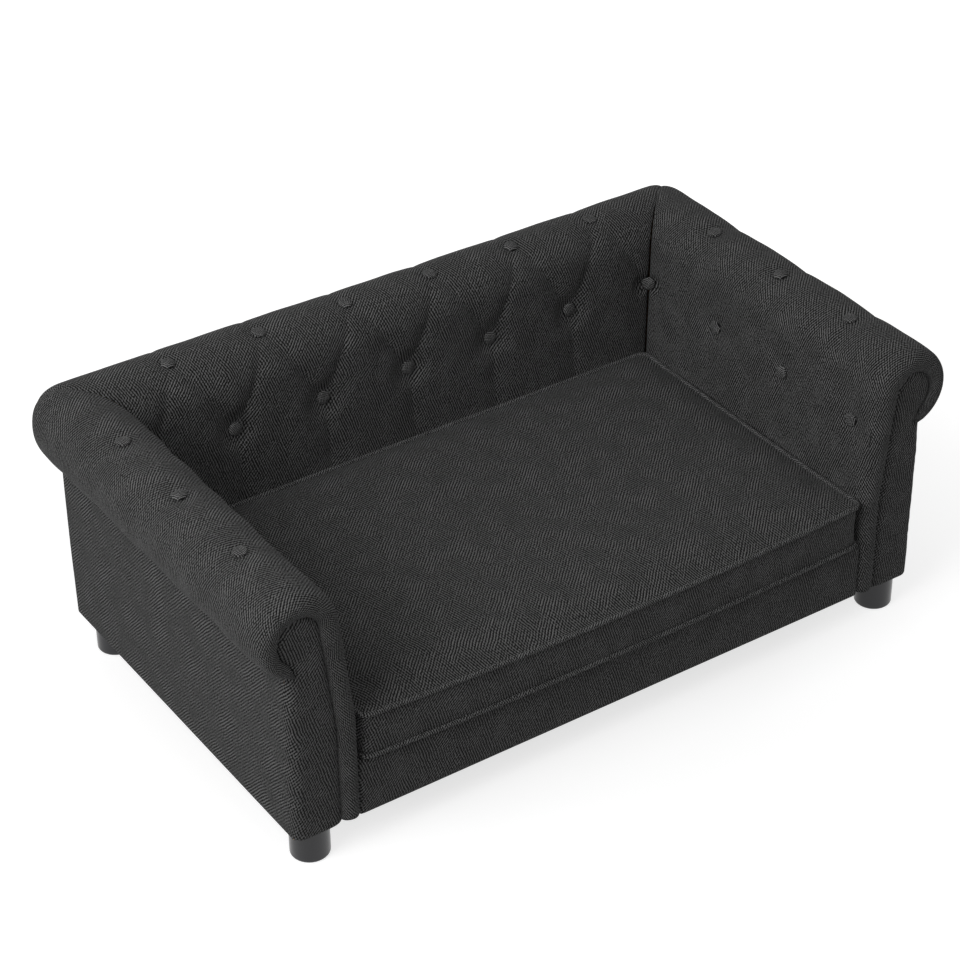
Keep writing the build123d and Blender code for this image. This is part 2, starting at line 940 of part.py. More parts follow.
slider_end = zip_length / 2
slider_back = tape_face + slider_gap
slider_front = slider_back + slider_depth
with BuildPart() as cushion_zip_slider:
    add(
        block(
            (slider_end - slider_length, slider_back, zip_z - slider_height / 2),
            (slider_end, slider_front, zip_z + slider_height / 2),
        )
    )
    fillet(cushion_zip_slider.edges().filter_by(Axis.Y), slider_round)
    add(
        block(
            (
                slider_end - slider_length - overrun,
                slider_back - overrun,
                zip_z - teeth_height / 2 - slider_gap,
            ),
            (
                slider_end + overrun,
                tape_face + teeth_depth + slider_gap,
                zip_z + teeth_height / 2 + slider_gap,
            ),
        ),
        mode=Mode.SUBTRACT,
    )
    add(
        block(
            (slider_end - slider_length / 2 - pull_length, slider_front, zip_z - pull_height / 2),
            (slider_end - slider_length / 2, slider_front + pull_thickness, zip_z + pull_height / 2),
        )
    )

right_arm = {
    "base_board": arm_base_board.part,
    "front_board": arm_front_board.part,
    "rear_board": arm_rear_board.part,
    "inner_panel": arm_inner_panel.part,
    "outer_panel": arm_outer_panel.part,
    "roll_tube": arm_roll_tube.part,
    "outer_cover": arm_outer_cover.part,
    "scroll_panel": arm_scroll_panel,
    "scroll_cover": arm_scroll_cover.part,
    "scroll_border": arm_scroll_border.part,
}

pieces = {
    "front_rail": front_rail,
    "rear_rail": rear_rail,
    "side_rails": side_rails.part,
    "centre_bearer": centre_bearer,
    "seat_deck": seat_deck.part,
    "deck_cloth": deck_cloth,
    "deck_screws": deck_screws.part,
    "dust_cloth": dust_cloth.part,
    "front_rail_foam": front_rail_foam,
    "front_rail_cover": front_rail_cover.part,
    "tee_nuts": tee_nuts.part,
    "foot_studs": foot_studs.part,
    "back_base_board": back_base_board,
    "back_ribs": back_ribs.part,
    "back_inner_panel": back_inner_panel.part,
    "back_outer_panel": back_outer_panel.part,
    "back_roll_tube": back_roll_tube.part,
    "back_foam": back_foam.part,
    "back_cover": back_cover.part,
    "back_outer_cover": back_outer_cover.part,
    "back_lower_buttons": buttons(
        (back_lower_planes, back_lower_depth, back_lower_mouth),
        (corner_planes, corner_depth, corner_mouth),
    ),
    "back_upper_buttons": buttons((back_upper_planes, back_upper_depth, back_upper_mouth)),
    "cushion_foam": cushion_foam.part,
    "cushion_top": cushion_top.part,
    "cushion_bottom": cushion_bottom_panel.part,
    "cushion_band": cushion_band.part,
    "cushion_welts": cushion_welts.part,
    "cushion_zip": cushion_zip.part,
    "cushion_zip_slider": cushion_zip_slider.part,
}
for row, y in foot_rows.items():
    pieces[f"foot_{row}_left"] = foot(-foot_x, y)
    pieces[f"foot_{row}_right"] = foot(foot_x, y)
for name, piece in (right_arm | arm_upholstery(upper_spot)).items():
    pieces[f"right_arm_{name}"] = piece
for name, piece in (right_arm | arm_upholstery(left_upper_spot)).items():
    pieces[f"left_arm_{name}"] = other_side(piece)

os.makedirs("parts", exist_ok=True)
for name, piece in pieces.items():
    piece.label = name
    export_step(piece, f"parts/{name}.step")
print(f"{len(pieces)} pieces")
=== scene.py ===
import json
from math import asin, atan2, cos, hypot, pi, radians, sin, sqrt

import bmesh
import bpy
import numpy as np
from mathutils import Matrix, Vector


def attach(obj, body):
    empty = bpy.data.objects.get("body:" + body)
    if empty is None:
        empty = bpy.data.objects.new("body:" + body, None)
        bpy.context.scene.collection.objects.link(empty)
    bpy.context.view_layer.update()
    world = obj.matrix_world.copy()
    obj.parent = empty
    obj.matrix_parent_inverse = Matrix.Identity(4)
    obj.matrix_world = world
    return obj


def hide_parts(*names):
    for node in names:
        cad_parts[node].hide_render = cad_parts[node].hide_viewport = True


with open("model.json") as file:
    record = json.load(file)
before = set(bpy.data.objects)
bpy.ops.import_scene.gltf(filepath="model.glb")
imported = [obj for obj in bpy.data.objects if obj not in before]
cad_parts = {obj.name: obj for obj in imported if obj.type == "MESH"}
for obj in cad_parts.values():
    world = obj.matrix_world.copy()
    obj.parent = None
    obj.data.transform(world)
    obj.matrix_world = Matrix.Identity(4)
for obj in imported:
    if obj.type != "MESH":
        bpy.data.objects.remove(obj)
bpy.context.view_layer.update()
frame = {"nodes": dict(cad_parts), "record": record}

MM = 0.001

# ---------------------------------------------------------------- sizes, in millimetres
# The upholstery lies where the construction model has it
front_face = -290.35
back_face = 267.65
side_face = 475.0
board_front = -282.35
foot_height = 46.0
deck_top = 128.0
arm_roll_x = 454.0
back_roll_y = 245.65
roll_z = 340.5
roll_radius = 54.5
pad_reach = 71.0
pad_bottom = 118.0
cushion_seam = 193.0
cushion_bottom = 128.3
cushion_side = 380.3
cushion_back = 171.95
frame_side_x = 407.0
deck_back = 198.5
cloth_gauge = 1.5
zip_z = (cushion_bottom + cushion_seam) / 2
zip_depth = 7.0
zip_tape, zip_ridge = 1.0, 1.5
zip_end = 310.0
zip_face = cushion_back - zip_depth + zip_tape + zip_ridge

# Buttons and their hollows: how deep, and how wide at the mouth. The puffs between them start
# at a distance below the lower buttons and reach their full height further up.
button_radius = 9.5
lower_height = 294.0
upper_angle = 100.0
left_upper_angle = 83.0
back_lower_hollow = (9.0, 27.0)
back_upper_hollow = (4.0, 17.0)
corner_hollow = (3.0, 10.5)
arm_hollow = (3.5, 20.0)
puff_start, puff_rise = -172.0, 60.0
first_arm_tuft = 48.0
arm_tuft_pitch = 140.0

# The padded border on the front of an arm: where it starts behind the front face, how far it
# stands out and how deep the groove inside it is. The corners are cut round by a share of
# their reach, and swell a little at their tops. Below the deck the cloth lies on the board.
border_start = 14.0
border_proud = 6.0
border_groove = 4.2
corner_share = 0.85
corner_swell = 4.4
skirt_front = board_front - 0.4

# The outer cloths reach up under the rolls: where they start to slope in and where they end,
# how high their swelling goes, and how high the scroll panels reach
side_slope, rear_slope = 295.0, 296.0
outer_top = 302.0
belly_height = 245.0
scroll_top = 376.0
row_step = 4.0

# The lattice's step, and how round the body's front and rear edges and its hem are
cloth_step = 2.8
body_round = 13.0
rear_round = 4.2
hem_round = 4.2

lean = atan2(pad_reach, roll_z - cushion_seam) - asin(
    roll_radius / hypot(pad_reach, roll_z - cushion_seam)
)
bend_angle = pi - lean
bend_height = roll_z + roll_radius * sin(bend_angle)


# ---------------------------------------------------------------- meshes from lattices
def lattice_quads(rows, columns, keep=None):
    """The four corners of each cell of a lattice, as indices."""
    index = np.arange(rows * columns).reshape(rows, columns)
    quads = np.stack([index[:-1, :-1], index[:-1, 1:], index[1:, 1:], index[1:, :-1]], axis=-1)
    if keep is None:
        return quads.reshape(-1, 4)
    return quads[keep]


def outwards(points, quads, inside):
    """Turns all the quads round if they face a point inside the piece."""
    a, b, c = (points[quads[:, i]] for i in (0, 1, 3))
    normals = np.cross(b - a, c - a)
    if np.sum(normals * (a - np.asarray(inside))) < 0:
        return quads[:, ::-1]
    return quads


def new_object(name, data):
    made = bpy.data.objects.new(name, data)
    bpy.context.collection.objects.link(made)
    return made


def mesh_piece(name, points, quads, uv, corner_uv=None):
    """A smooth mesh object from points and a flat map, both in millimetres."""
    mesh = bpy.data.meshes.new(name)
    used = np.unique(quads)
    place = np.zeros(len(points), int)
    place[used] = np.arange(len(used))
    mesh.from_pydata((points[used] * MM).tolist(), [], place[quads].tolist())
    layer = mesh.uv_layers.new(name="cloth")
    flat = uv[quads.reshape(-1)] if corner_uv is None else corner_uv
    layer.data.foreach_set("uv", (flat * MM).astype(np.float32).reshape(-1))
    mesh.polygons.foreach_set("use_smooth", np.ones(len(mesh.polygons), bool))
    mesh.update()
    return new_object(name, mesh)


def mirrored(side, points, quads):
    """The points and quads of a piece of the right side, as they are on a side."""
    return (points * (-1, 1, 1), quads[:, ::-1]) if side < 0 else (points, quads)


def lattice_piece(name, points, shape, uv, inside, keep=None, side=1):
    """A piece made of one lattice, that faces away from a point inside it."""
    quads = outwards(points, lattice_quads(*shape, keep), inside)
    return mesh_piece(name, *mirrored(side, points, quads), uv.reshape(-1, 2))


def rework(piece, change):
    """Changes a piece's mesh with a function that takes it as a bmesh."""
    grown = bmesh.new()
    grown.from_mesh(piece.data)
    change(grown)
    grown.to_mesh(piece.data)
    grown.free()


def weld_points(piece):
    """Joins points that lie on each other where two lattices meet."""
    rework(piece, lambda grown: bmesh.ops.remove_doubles(grown, verts=grown.verts, dist=0.05 * MM))


def lengths(line):
    """How far along a line of points each of them is."""
    return np.concatenate([[0], np.cumsum(np.linalg.norm(np.diff(line, axis=0), axis=1))])


def even_points(line, step):
    """Points at an even spacing along a line of points, and their distances along it."""
    line = np.asarray(line, float)
    far = lengths(line)
    along = np.linspace(0, far[-1], int(round(far[-1] / step)) + 1)
    return np.stack([np.interp(along, far, line[:, i]) for i in range(line.shape[1])], axis=1), along


def ripple(a, b, seed, height, shortest, longest):
    """A gentle unevenness over two flat directions, made of a few fixed waves."""
    dice = np.random.default_rng(seed)
    total = np.zeros(np.broadcast(a, b).shape)
    waves = 14
    for i in range(waves):
        length = dice.uniform(shortest, longest)
        turn = dice.uniform(0, 2 * pi)
        total += np.sin(2 * pi * (a * cos(turn) + b * sin(turn)) / length + dice.uniform(0, 2 * pi))
    return total * height / sqrt(waves)


def unit(value):
    """Kept between 0 and 1."""
    return np.clip(value, 0, 1)


def bell(value, centre, width):
    """A bell curve, 1 at its centre."""
    return np.exp(-(((value - centre) / width) ** 2))


def settled(distance, length):
    """Rises from 0 towards 1 over a length."""
    return 1 - np.exp(-distance / length)


def stacked(*parts):
    """Coordinates that spread over one lattice, put together."""
    return np.stack(np.broadcast_arrays(*parts), axis=-1)


def quarter(count):
    """Angles from 0 to a right angle."""
    return np.linspace(0, pi / 2, count)


# ---------------------------------------------------------------- section of the arms and the back
def pad_line(low, end_angle):
    """The outside in section, from a low point on the seat side up and over the roll.

    It gives places, ways that they face and distances up from the lower buttons, as columns,
    and the distance at which the roll begins."""
    turns = np.linspace(bend_angle, radians(end_angle), 300)
    roll = np.stack([roll_radius * np.cos(turns), roll_z + roll_radius * np.sin(turns)], axis=1)
    line = np.vstack([[[-pad_reach, low], [-pad_reach, cushion_seam]], roll])
    points, along = even_points(line, cloth_step)
    ways = np.gradient(points, axis=0)
    ways /= np.linalg.norm(ways, axis=1)[:, None]
    facing = np.stack([-ways[:, 1], ways[:, 0]])
    slope = cos(lean)
    button_along = (cushion_seam - low) + (lower_height - cushion_seam) / slope
    rise = (bend_height - lower_height) / slope
    return points.T[..., None], facing[..., None], (along - button_along)[:, None], rise


def roll_distance(angle, rise):
    """How far along the section, from the lower buttons, a place on the roll is."""
    return rise + roll_radius * (bend_angle - radians(angle))


def spot_on_lean(height):
    along = (roll_z + roll_radius * sin(lean) - height) / cos(lean)
    out = -roll_radius * cos(lean) - along * sin(lean)
    return out, height, -cos(lean), sin(lean)


def spot_on_roll(angle):
    turn = radians(angle)
    return roll_radius * cos(turn), roll_z + roll_radius * sin(turn), cos(turn), sin(turn)


lower_spot = spot_on_lean(lower_height)
upper_spot = spot_on_roll(upper_angle)
corner_x = arm_roll_x + lower_spot[0]
pitch = corner_x / 3
lower_columns = [i * pitch for i in (-2, -1, 0, 1, 2)]
upper_columns = [(i + 0.5) * pitch for i in range(-3, 3)]
arm_lower_rows = [front_face + first_arm_tuft + i * arm_tuft_pitch for i in range(3)]
arm_upper_rows = [y + arm_tuft_pitch / 2 for y in arm_lower_rows]


# Each group of buttons, as places on the cloth and the way that each faces
def back_spots(columns, spot):
    out, up, face_out, face_up = spot
    return [((x, back_roll_y + out, up), (0, face_out, face_up)) for x in columns]


def arm_spots(rows, spot):
    out, up, face_out, face_up = spot
    return [((arm_roll_x + out, y, up), (face_out, 0, face_up)) for y in rows]


def arm_tufts(high_angle):
    """All the buttons of an arm, from the angle of its upper ones."""
    return arm_spots(arm_lower_rows, lower_spot) + arm_spots(arm_upper_rows, spot_on_roll(high_angle))


def corner_spots():
    out, up, face_out, face_up = lower_spot
    size = sqrt(2 * face_out**2 + face_up**2)
    return [
        (
            (side * (arm_roll_x + out), back_roll_y + out, up),
            (side * face_out / size, face_out / size, face_up / size),
        )
        for side in (-1, 1)
    ]


def hollow_radius(hollow):
    depth, mouth = hollow
    return (mouth**2 + depth**2) / (2 * depth)


def button_depth(hollow):
    """How far below the cloth the flat back of a button lies in its hollow."""
    radius = hollow_radius(hollow)
    return hollow[0] - radius + sqrt(radius**2 - button_radius**2) - 0.3


def press(points, spots, hollow, lip):
    """Presses round hollows with soft lips into the points."""
    radius = hollow_radius(hollow)
    for place, facing in spots:
        centre = np.asarray(place) + np.asarray(facing) * (radius - hollow[0])
        away = points - centre
        far = np.linalg.norm(away, axis=-1)
        near = far < radius + 8 * lip
        pushed = radius + lip * np.log1p(np.exp((far[near] - radius) / lip))
        points[near] = centre + away[near] * (pushed / far[near])[:, None]
    return points


def crease_field(across, along, lines):
    """The depth of the deepest folds at each place, and how far the nearest fold is.

    A line is its points, each (across, along, depth), and the width of its shoulders."""
    total = np.zeros(across.shape)
    nearest = np.full(across.shape, 1e3)
    for points, width in lines:
        best = np.full(across.shape, 1e3)
        depth = np.zeros(across.shape)
        for (xa, sa, da), (xb, sb, db) in zip(points, points[1:]):
            length = (xb - xa) ** 2 + (sb - sa) ** 2
            share = unit(((across - xa) * (xb - xa) + (along - sa) * (sb - sa)) / length)
            far = np.hypot(across - xa - share * (xb - xa), along - sa - share * (sb - sa))
            closer = far < best
            best = np.where(closer, far, best)
            depth = np.where(closer, da + share * (db - da), depth)
        cut = depth * (0.6 * np.exp(-best / width) + 0.4 * np.exp(-((best / (2.4 * width)) ** 2)))
        total += cut**3
        nearest = np.minimum(nearest, best)
    return np.cbrt(total), nearest


def diamond_fold(low_x, high_x, high_s, low_depth, high_depth):
    """A slanted fold from a lower button up to an upper one, a little bowed."""
    points = []
    for i in range(9):
        share = i / 8
        bow = 0.05 * sin(pi * share**0.7)
        depth = high_depth + (low_depth - high_depth) * (1 - share) ** 1.6
        points.append((low_x + (high_x - low_x) * (share + bow), high_s * share, depth))
    return points


# ---------------------------------------------------------------- the back and the arms
def mitred_run(out, length, share):
    """Distances along a run of padding that ends at a mitred, rounded corner.

    It gives the corner's radius, the straight part's length, the whole length, how far each
    place is along it and how far the cloth has turned there."""
    radius = corner_share * np.maximum(out, 0)
    straight = length + out - radius
    reach = straight + radius * pi / 4
    far = share * reach
    turn = np.clip((far - straight) / np.maximum(radius, 0.001), 0, pi / 4)
    return radius, straight, reach, far, turn


def mitre_dip(to_seam, out):
    """How far the cloth dips into the seam of a mitred corner."""
    return (1.8 - 0.2 * unit(-out / 20)) * np.exp(-to_seam / 3.0)


def back_upholstery():
    (out, up), (face_out, face_up), along, rise = pad_line(pad_bottom, -66.0)
    columns = int(round(2 * arm_roll_x / cloth_step))
    share = np.linspace(-1, 1, columns + 1)[None, :]
    radius, straight, reach, far, turn = mitred_run(out, arm_roll_x, np.abs(share))
    side = np.sign(share)
    x = side * np.where(far < straight, far, straight + radius * np.sin(turn))
    y = back_roll_y + out - radius + radius * np.cos(turn)
    along = along + 0 * share
    across = side * far
    high_s = roll_distance(upper_angle, rise)
    lines = []
    for low_x in lower_columns:
        below = [(low_x, 0, 4.2), (low_x, -25, 3.0), (low_x, -90, 2.2), (low_x, -170, 1.6)]
        lines.append((below, 3.2))
        for reach_x in (-pitch / 2, pitch / 2):
            lines.append((diamond_fold(low_x, low_x + reach_x, high_s, 7.0, 1.6), 3.4))
    for side_x in (-1, 1):
        inner = side_x * (corner_x - pitch / 2)
        lines.append((diamond_fold(side_x * corner_x, inner, high_s, 6.0, 1.6), 3.4))
    for high_x in upper_columns:
        over = [(0, 2.2), (45, 1.2), (130, 0.7), (170, 0.2)]
        lines.append(([(high_x, high_s + past, depth) for past, depth in over], 2.6))
    depth, nearest = crease_field(across, along, lines)
    to_seam = reach - far
    puff = 2.4 * (1 - bell(nearest, 0, 24)) * (1 - bell(to_seam, 0, 22))
    puff *= np.clip((along - puff_start) / puff_rise, 0.2, 1)
    puff *= np.interp(along, [rise + 30, high_s], [1, 0.25])
    corner_rise = np.interp(across, [-450, -150, 100], [corner_swell, 3.0, 0.6])
    lift = puff - depth - mitre_dip(to_seam, out) + under_roll(up, out)
    lift += corner_rise * bell(roll_angle(up, out), 45, 32)
    lift += ripple(across, along, 3, 0.35, 35, 130) * settled(to_seam, 12)
    normal = stacked(face_out * side * np.sin(turn), face_out * np.cos(turn), face_up)
    points = (stacked(x, y, up) + normal * lift[..., None]).reshape(-1, 3)
    points = press(points, back_spots(lower_columns, lower_spot), back_lower_hollow, 2.2)
    points = press(points, back_spots(upper_columns, upper_spot), back_upper_hollow, 1.6)
    points = press(points, corner_spots(), corner_hollow, 1.2)
    uv = stacked(across, along)
    return lattice_piece("back_upholstery", points, x.shape, uv, (0, back_roll_y, 300))


def roll_angle(up, out):
    """The angle round the roll, in degrees, from the outward side up over the top."""
    angle = np.degrees(np.arctan2(up - roll_z, out))
    return np.where(angle < -100, angle + 360, angle)


def under_roll(up, out):
    """How far the cloth is tucked in under a roll, where it meets the outer cloth."""
    share = unit((-38 - roll_angle(up, out)) / 16)
    return -5.0 * share**2 * (3 - 2 * share)


def border_width(up, out):
    """How wide the padded border is at each point of the section."""
    angle = roll_angle(up, out)
    on_roll = np.interp(angle, [-82, -78, -67, -35, -5, 60, 174], [2.5, 5, 17.5, 22, 25, 29, 28])
    return np.where((up < bend_height - 1) & (out < 0), 28.0, on_roll)


def front_border(out, up, face_out, face_up):
    """The border: the cloth goes on round the front edge and into the groove of the panel."""
    front = front_face + border_start
    turns = np.linspace(pi * 1.02, 0, 22)[None, :-1]
    width = border_width(up, out)
    proud = border_proud * np.clip(width / 16, 0.15, 1)
    inset = width / 2 * (1 - np.cos(np.minimum(turns, pi))) + np.maximum(turns - pi, 0) * 6
    before = np.where(
        turns < pi / 2,
        (border_start + proud) * np.sin(turns),
        border_start + proud - (proud + border_groove) * (1 - np.sin(turns)),
    )
    # A dart where the border turns over the top of the roll
    before = before - np.exp(-np.abs(roll_angle(up, out) - 52) / 3.5) * unit(np.sin(turns)) * 2.6
    # Its lower end is rounded
    ease = unit((up - foot_height) / 7)
    ease = np.where(up < 60, np.sqrt(np.maximum(1 - (1 - ease) ** 2, 0)), 1.0)
    inset = width / 2 + (inset - width / 2) * ease
    start = np.where(up < deck_top, skirt_front, front)
    y = np.minimum(front - before * ease, start)
    return stacked(arm_roll_x + out - face_out * inset, y, up - face_up * inset)


def arm_upholstery(name, side, high_angle):
    (out, up), (face_out, face_up), along, rise = pad_line(foot_height + 0.2, -80.0)
    front = front_face + border_start
    columns = int(round((back_roll_y - front) / cloth_step))
    share = np.linspace(0, 1, columns + 1)[None, :]
    radius, straight, reach, far, turn = mitred_run(out, back_roll_y - front, share)
    x = arm_roll_x + out - radius + radius * np.cos(turn)
    y = front + np.where(far < straight, far, straight + radius * np.sin(turn))
    along_all = along + 0 * share
    high_s = roll_distance(high_angle, rise)
    place = front + far
    lines = []
    for low_y in arm_lower_rows:
        lines.append(([(low_y, 0, 1.3), (low_y, -50, 0.7), (low_y, -110, 0.3)], 5.0))
        for high_y in (low_y - arm_tuft_pitch / 2, low_y + arm_tuft_pitch / 2):
            if high_y > front_face + 20:
                lines.append((diamond_fold(low_y, high_y, high_s, 1.3, 0.7), 6.0))
    for high_y in arm_upper_rows:
        over = [(0, 1.3), (60, 0.9), (150, 0.2)]
        lines.append(([(high_y, high_s + past, depth) for past, depth in over], 5.0))
    depth, nearest = crease_field(place, along_all, lines)
    to_seam = reach - far
    to_front = settled(far, 14)
    puff = 1.6 * (1 - bell(nearest, 0, 32)) * (1 - bell(to_seam, 0, 22))
    puff *= unit((along_all - puff_start) / puff_rise)
    corner_rise = (corner_swell if side < 0 else 0.6) * bell(roll_angle(up, out), 45, 32)
    lift = (puff - depth + under_roll(up, out)) * to_front
    lift += corner_rise * np.exp(-to_seam / 70) - mitre_dip(to_seam, out)
    lift += ripple(place, along_all, 8 + side, 0.4, 35, 130) * settled(to_seam, 12) * to_front
    normal = stacked(face_out * np.cos(turn), face_out * np.sin(turn), face_up)
    pad = stacked(x, y, up) + normal * lift[..., None]
    # Nothing of the arm shows below the cushion behind the border
    pad[:, 0, 1] = np.where(up[:, 0] < deck_top, skirt_front, pad[:, 0, 1])
    border = front_border(out, up, face_out, face_up)
    shape = np.concatenate([border, pad], axis=1)
    rows, total = shape.shape[:2]
    first_pad = border.shape[1]
    keep = np.ones((rows - 1, total - 1), bool)
    keep[(up[:-1, 0] < pad_bottom), first_pad:] = False
    back = np.linspace(-64, 0, first_pad + 1)[None, :-1] + 0 * up
    across = np.concatenate([front + back, place], axis=1)
    uv = stacked(across, side * along)
    points = press(shape.reshape(-1, 3), arm_tufts(high_angle), arm_hollow, 1.8)
    points = press(points, corner_spots(), corner_hollow, 1.2)
    return lattice_piece(name, points, (rows, total), uv, (arm_roll_x, 0, 300), keep, side)


# ---------------------------------------------------------------- the outer covers
def whole_cells(shown):
    """Which cells of a lattice have all four corners shown."""
    return shown[:-1, :-1] & shown[1:, :-1] & shown[1:, 1:] & shown[:-1, 1:]


def hem_rows(top):
    """Heights up an outer cloth, close together round its hem, and how far each is tucked in."""
    turns = quarter(6)
    plain = np.arange(hem_round + 3, top - foot_height, row_step)
    heights = np.concatenate([[0.3], hem_round * (1 - np.cos(turns)), plain])
    tucks = np.concatenate([[9.0], hem_round * (1 - np.sin(turns)), 0 * plain])
    return foot_height + heights[:, None], tucks[:, None]


def belly(heights, size):
    """How far an outer cloth swells out, most at half its height."""
    return size * np.sin(pi * unit((heights - foot_height) / belly_height))


def above_hem(heights):
    return unit(heights / 60 - 0.7)


def inner_edge():
    """The inner edge of the border over the front of an arm, from the bottom round to its tip."""
    (out, up), (face_out, face_up), _, _ = pad_line(foot_height, -81.0)
    width = border_width(up, out)
    return np.hstack([out - face_out * width, up - face_up * width])


border_edge = inner_edge()


def lean_distance(out, up):
    """How far a point of the front is from the seat side of the arm."""
    above = up - roll_z - roll_radius * sin(lean)
    from_lean = (out + roll_radius * cos(lean)) * cos(lean) - above * sin(lean)
    return np.minimum(from_lean, out + pad_reach)


def panel_depth(out, up):
    """How far behind the front face the scroll panel is: padded in the middle, low at the border."""
    out, up = np.broadcast_arrays(out, up)
    away = np.hypot(out[..., None] - border_edge[:, 0], up[..., None] - border_edge[:, 1])
    gap = away.min(axis=-1)
    angle = roll_angle(up, out)
    from_roll = roll_radius - np.hypot(out, up - roll_z)
    round_roll = (angle > -80) & (angle < 175) & (from_roll < border_width(up, out))
    under = round_roll | ((up < bend_height) & (lean_distance(out, up) < 28))
    return border_groove + np.where(under, np.minimum(0.8 * gap, 3.0), -5.1 * settled(gap, 5))


def side_cover(name, side):
    """One arm's outer cloth: the scroll panel, round the front edge and along the side."""
    flat_start, flat_end = -62, side_face - arm_roll_x - body_round
    outs = np.linspace(flat_start, flat_end, 19)
    turns = quarter(6)[1:]
    plan = [(arm_roll_x + out, front_face, 0, -1) for out in outs]
    for t in turns:
        x, y = side_face - body_round * (1 - sin(t)), front_face + body_round * (1 - cos(t))
        plan.append((x, y, sin(t), -cos(t)))
    ys = np.linspace(front_face + body_round, back_face - rear_round, 136)[1:]
    plan += [(side_face, y, 1, 0) for y in ys]
    for t in turns:
        x, y = side_face - rear_round * (1 - cos(t)), back_face - rear_round * (1 - sin(t))
        plan.append((x, y, cos(t), sin(t)))
    px, py, nx, ny = np.array(plan, float).T[:, None, :]
    far = lengths(np.stack([px[0], py[0]], axis=1))[None, :] + flat_start
    heights, tucks = hem_rows(scroll_top)
    out = px - arm_roll_x
    on_front = far <= flat_end + 0.01
    depth_end = panel_depth(flat_end, heights)
    depth = np.where(on_front, panel_depth(out, heights), depth_end * unit(1 - (far - flat_end) / 14))
    soft = ripple(far, heights * 1.4, 21 + side, 0.45, 40, 150)
    soft += ripple(far * 0.6, heights * 2.2, 31 + side, 0.25, 25, 60)
    swell = belly(heights, 1.6) * unit((far - flat_end) / 40)
    to_rear = unit((far[0, -1] - far) / 50)
    lift = swell * (0.5 + 0.5 * to_rear) + soft * to_rear * above_hem(heights) - depth - tucks
    lift -= np.maximum(heights - side_slope, 0) * 0.5 * (far > flat_end + 0.5)
    points = stacked(px + nx * lift, py + ny * lift, heights)
    rows, columns = points.shape[:2]
    in_roll = np.hypot(out, heights - roll_z) < roll_radius - 9
    in_neck = (heights < 350) & (out < 0) & (lean_distance(out, heights) > 12)
    shown = np.where(on_front, in_roll | (heights < 300) | in_neck, heights < outer_top)
    quads = lattice_quads(rows, columns, whole_cells(shown))
    points = points.reshape(-1, 3)
    uv = stacked(side * far, heights).reshape(-1, 2)

    # The outer half of the scroll's head, which is wider than the neck below it
    head_outs = np.linspace(flat_end, 44, 10)[None, :]
    in_head = heights[:, 0] >= 284
    head_rows = heights[in_head]
    soft_edge = soft[in_head, len(outs) - 1][:, None] * unit(1 - (head_outs - flat_end) / 20)
    head_y = front_face + panel_depth(head_outs, head_rows) - soft_edge
    head = stacked(arm_roll_x + head_outs, head_y, head_rows)
    from_edge = roll_radius - np.hypot(head_outs, head_rows - roll_z)
    shown = from_edge > np.where(head_rows < 318, 2.0, 9)
    head_quads = lattice_quads(head.shape[0], head.shape[1], whole_cells(shown)) + len(points)
    head_uv = stacked(side * head_outs, head_rows).reshape(-1, 2)
    all_points = np.vstack([points, head.reshape(-1, 3)])
    inside = (0, 0, 200)
    all_quads = np.vstack([outwards(points, quads, inside), outwards(all_points, head_quads, inside)])
    piece = mesh_piece(name, *mirrored(side, all_points, all_quads), np.vstack([uv, head_uv]))
    weld_points(piece)
    return piece


def back_panel():
    """The plain cloth over the outside of the back."""
    xs = np.linspace(rear_round - side_face, side_face - rear_round, 190)[None, :]
    heights, tucks = hem_rows(outer_top)
    ends = settled(side_face - rear_round - np.abs(xs), 10)
    soft = ripple(xs, heights * 1.3, 51, 0.5, 40, 170) + ripple(xs * 0.6, heights * 2, 52, 0.25, 25, 60)
    lift = (belly(heights, 1.8) + soft * above_hem(heights)) * ends - tucks
    lift -= np.maximum(heights - rear_slope, 0) * 0.5
    points = stacked(xs, back_face + lift, heights).reshape(-1, 3)
    return lattice_piece("back_outer_cloth", points, lift.shape, stacked(xs, heights), (0, 0, 200))


def rail_cover():
    """The padded cloth of the front rail."""
    end, round_top, round_low = 388.0, 6.0, 4.0
    xs = np.linspace(-end, end, 170)[None, :]
    line = [(board_front + 3, deck_top)]
    for t in quarter(8):
        line.append((front_face + round_top * (1 - sin(t)), deck_top - round_top * (1 - cos(t))))
    for t in quarter(7):
        line.append((front_face + round_low * (1 - cos(t)), foot_height + round_low * (1 - sin(t))))
    line += [(board_front + 3, foot_height)]
    points, along = even_points(line, 2.4)
    depth, up = points[:, 0][:, None], points[:, 1][:, None]
    middle = unit((deck_top - up) / 20) * unit((up - foot_height) / 12)
    lift = 1.4 * middle * settled(end - np.abs(xs), 14)
    lift += ripple(xs, up * 1.5, 61, 0.35, 40, 160) * middle
    turned = unit((np.abs(xs) - end + 8) / 8)
    lift = lift - 6.5 * (1 - np.sqrt(1 - turned**2)) * (depth < front_face + 6)
    points = stacked(xs, depth - lift, up).reshape(-1, 3)
    uv = stacked(xs, -along[:, None])
    return lattice_piece("front_rail_pad", points, lift.shape, uv, (0, board_front + 5, 87))


# ---------------------------------------------------------------- the seat cushion
cushion_columns, cushion_rows = 96, 60
cushion_bulge = 8.0
cushion_waist = 3.0
cushion_corner = 13.0
cushion_middle = (front_face + cushion_back) / 2
cushion_half = (cushion_back - front_face) / 2
front_sag = 4.0
piping_radius = 3.3


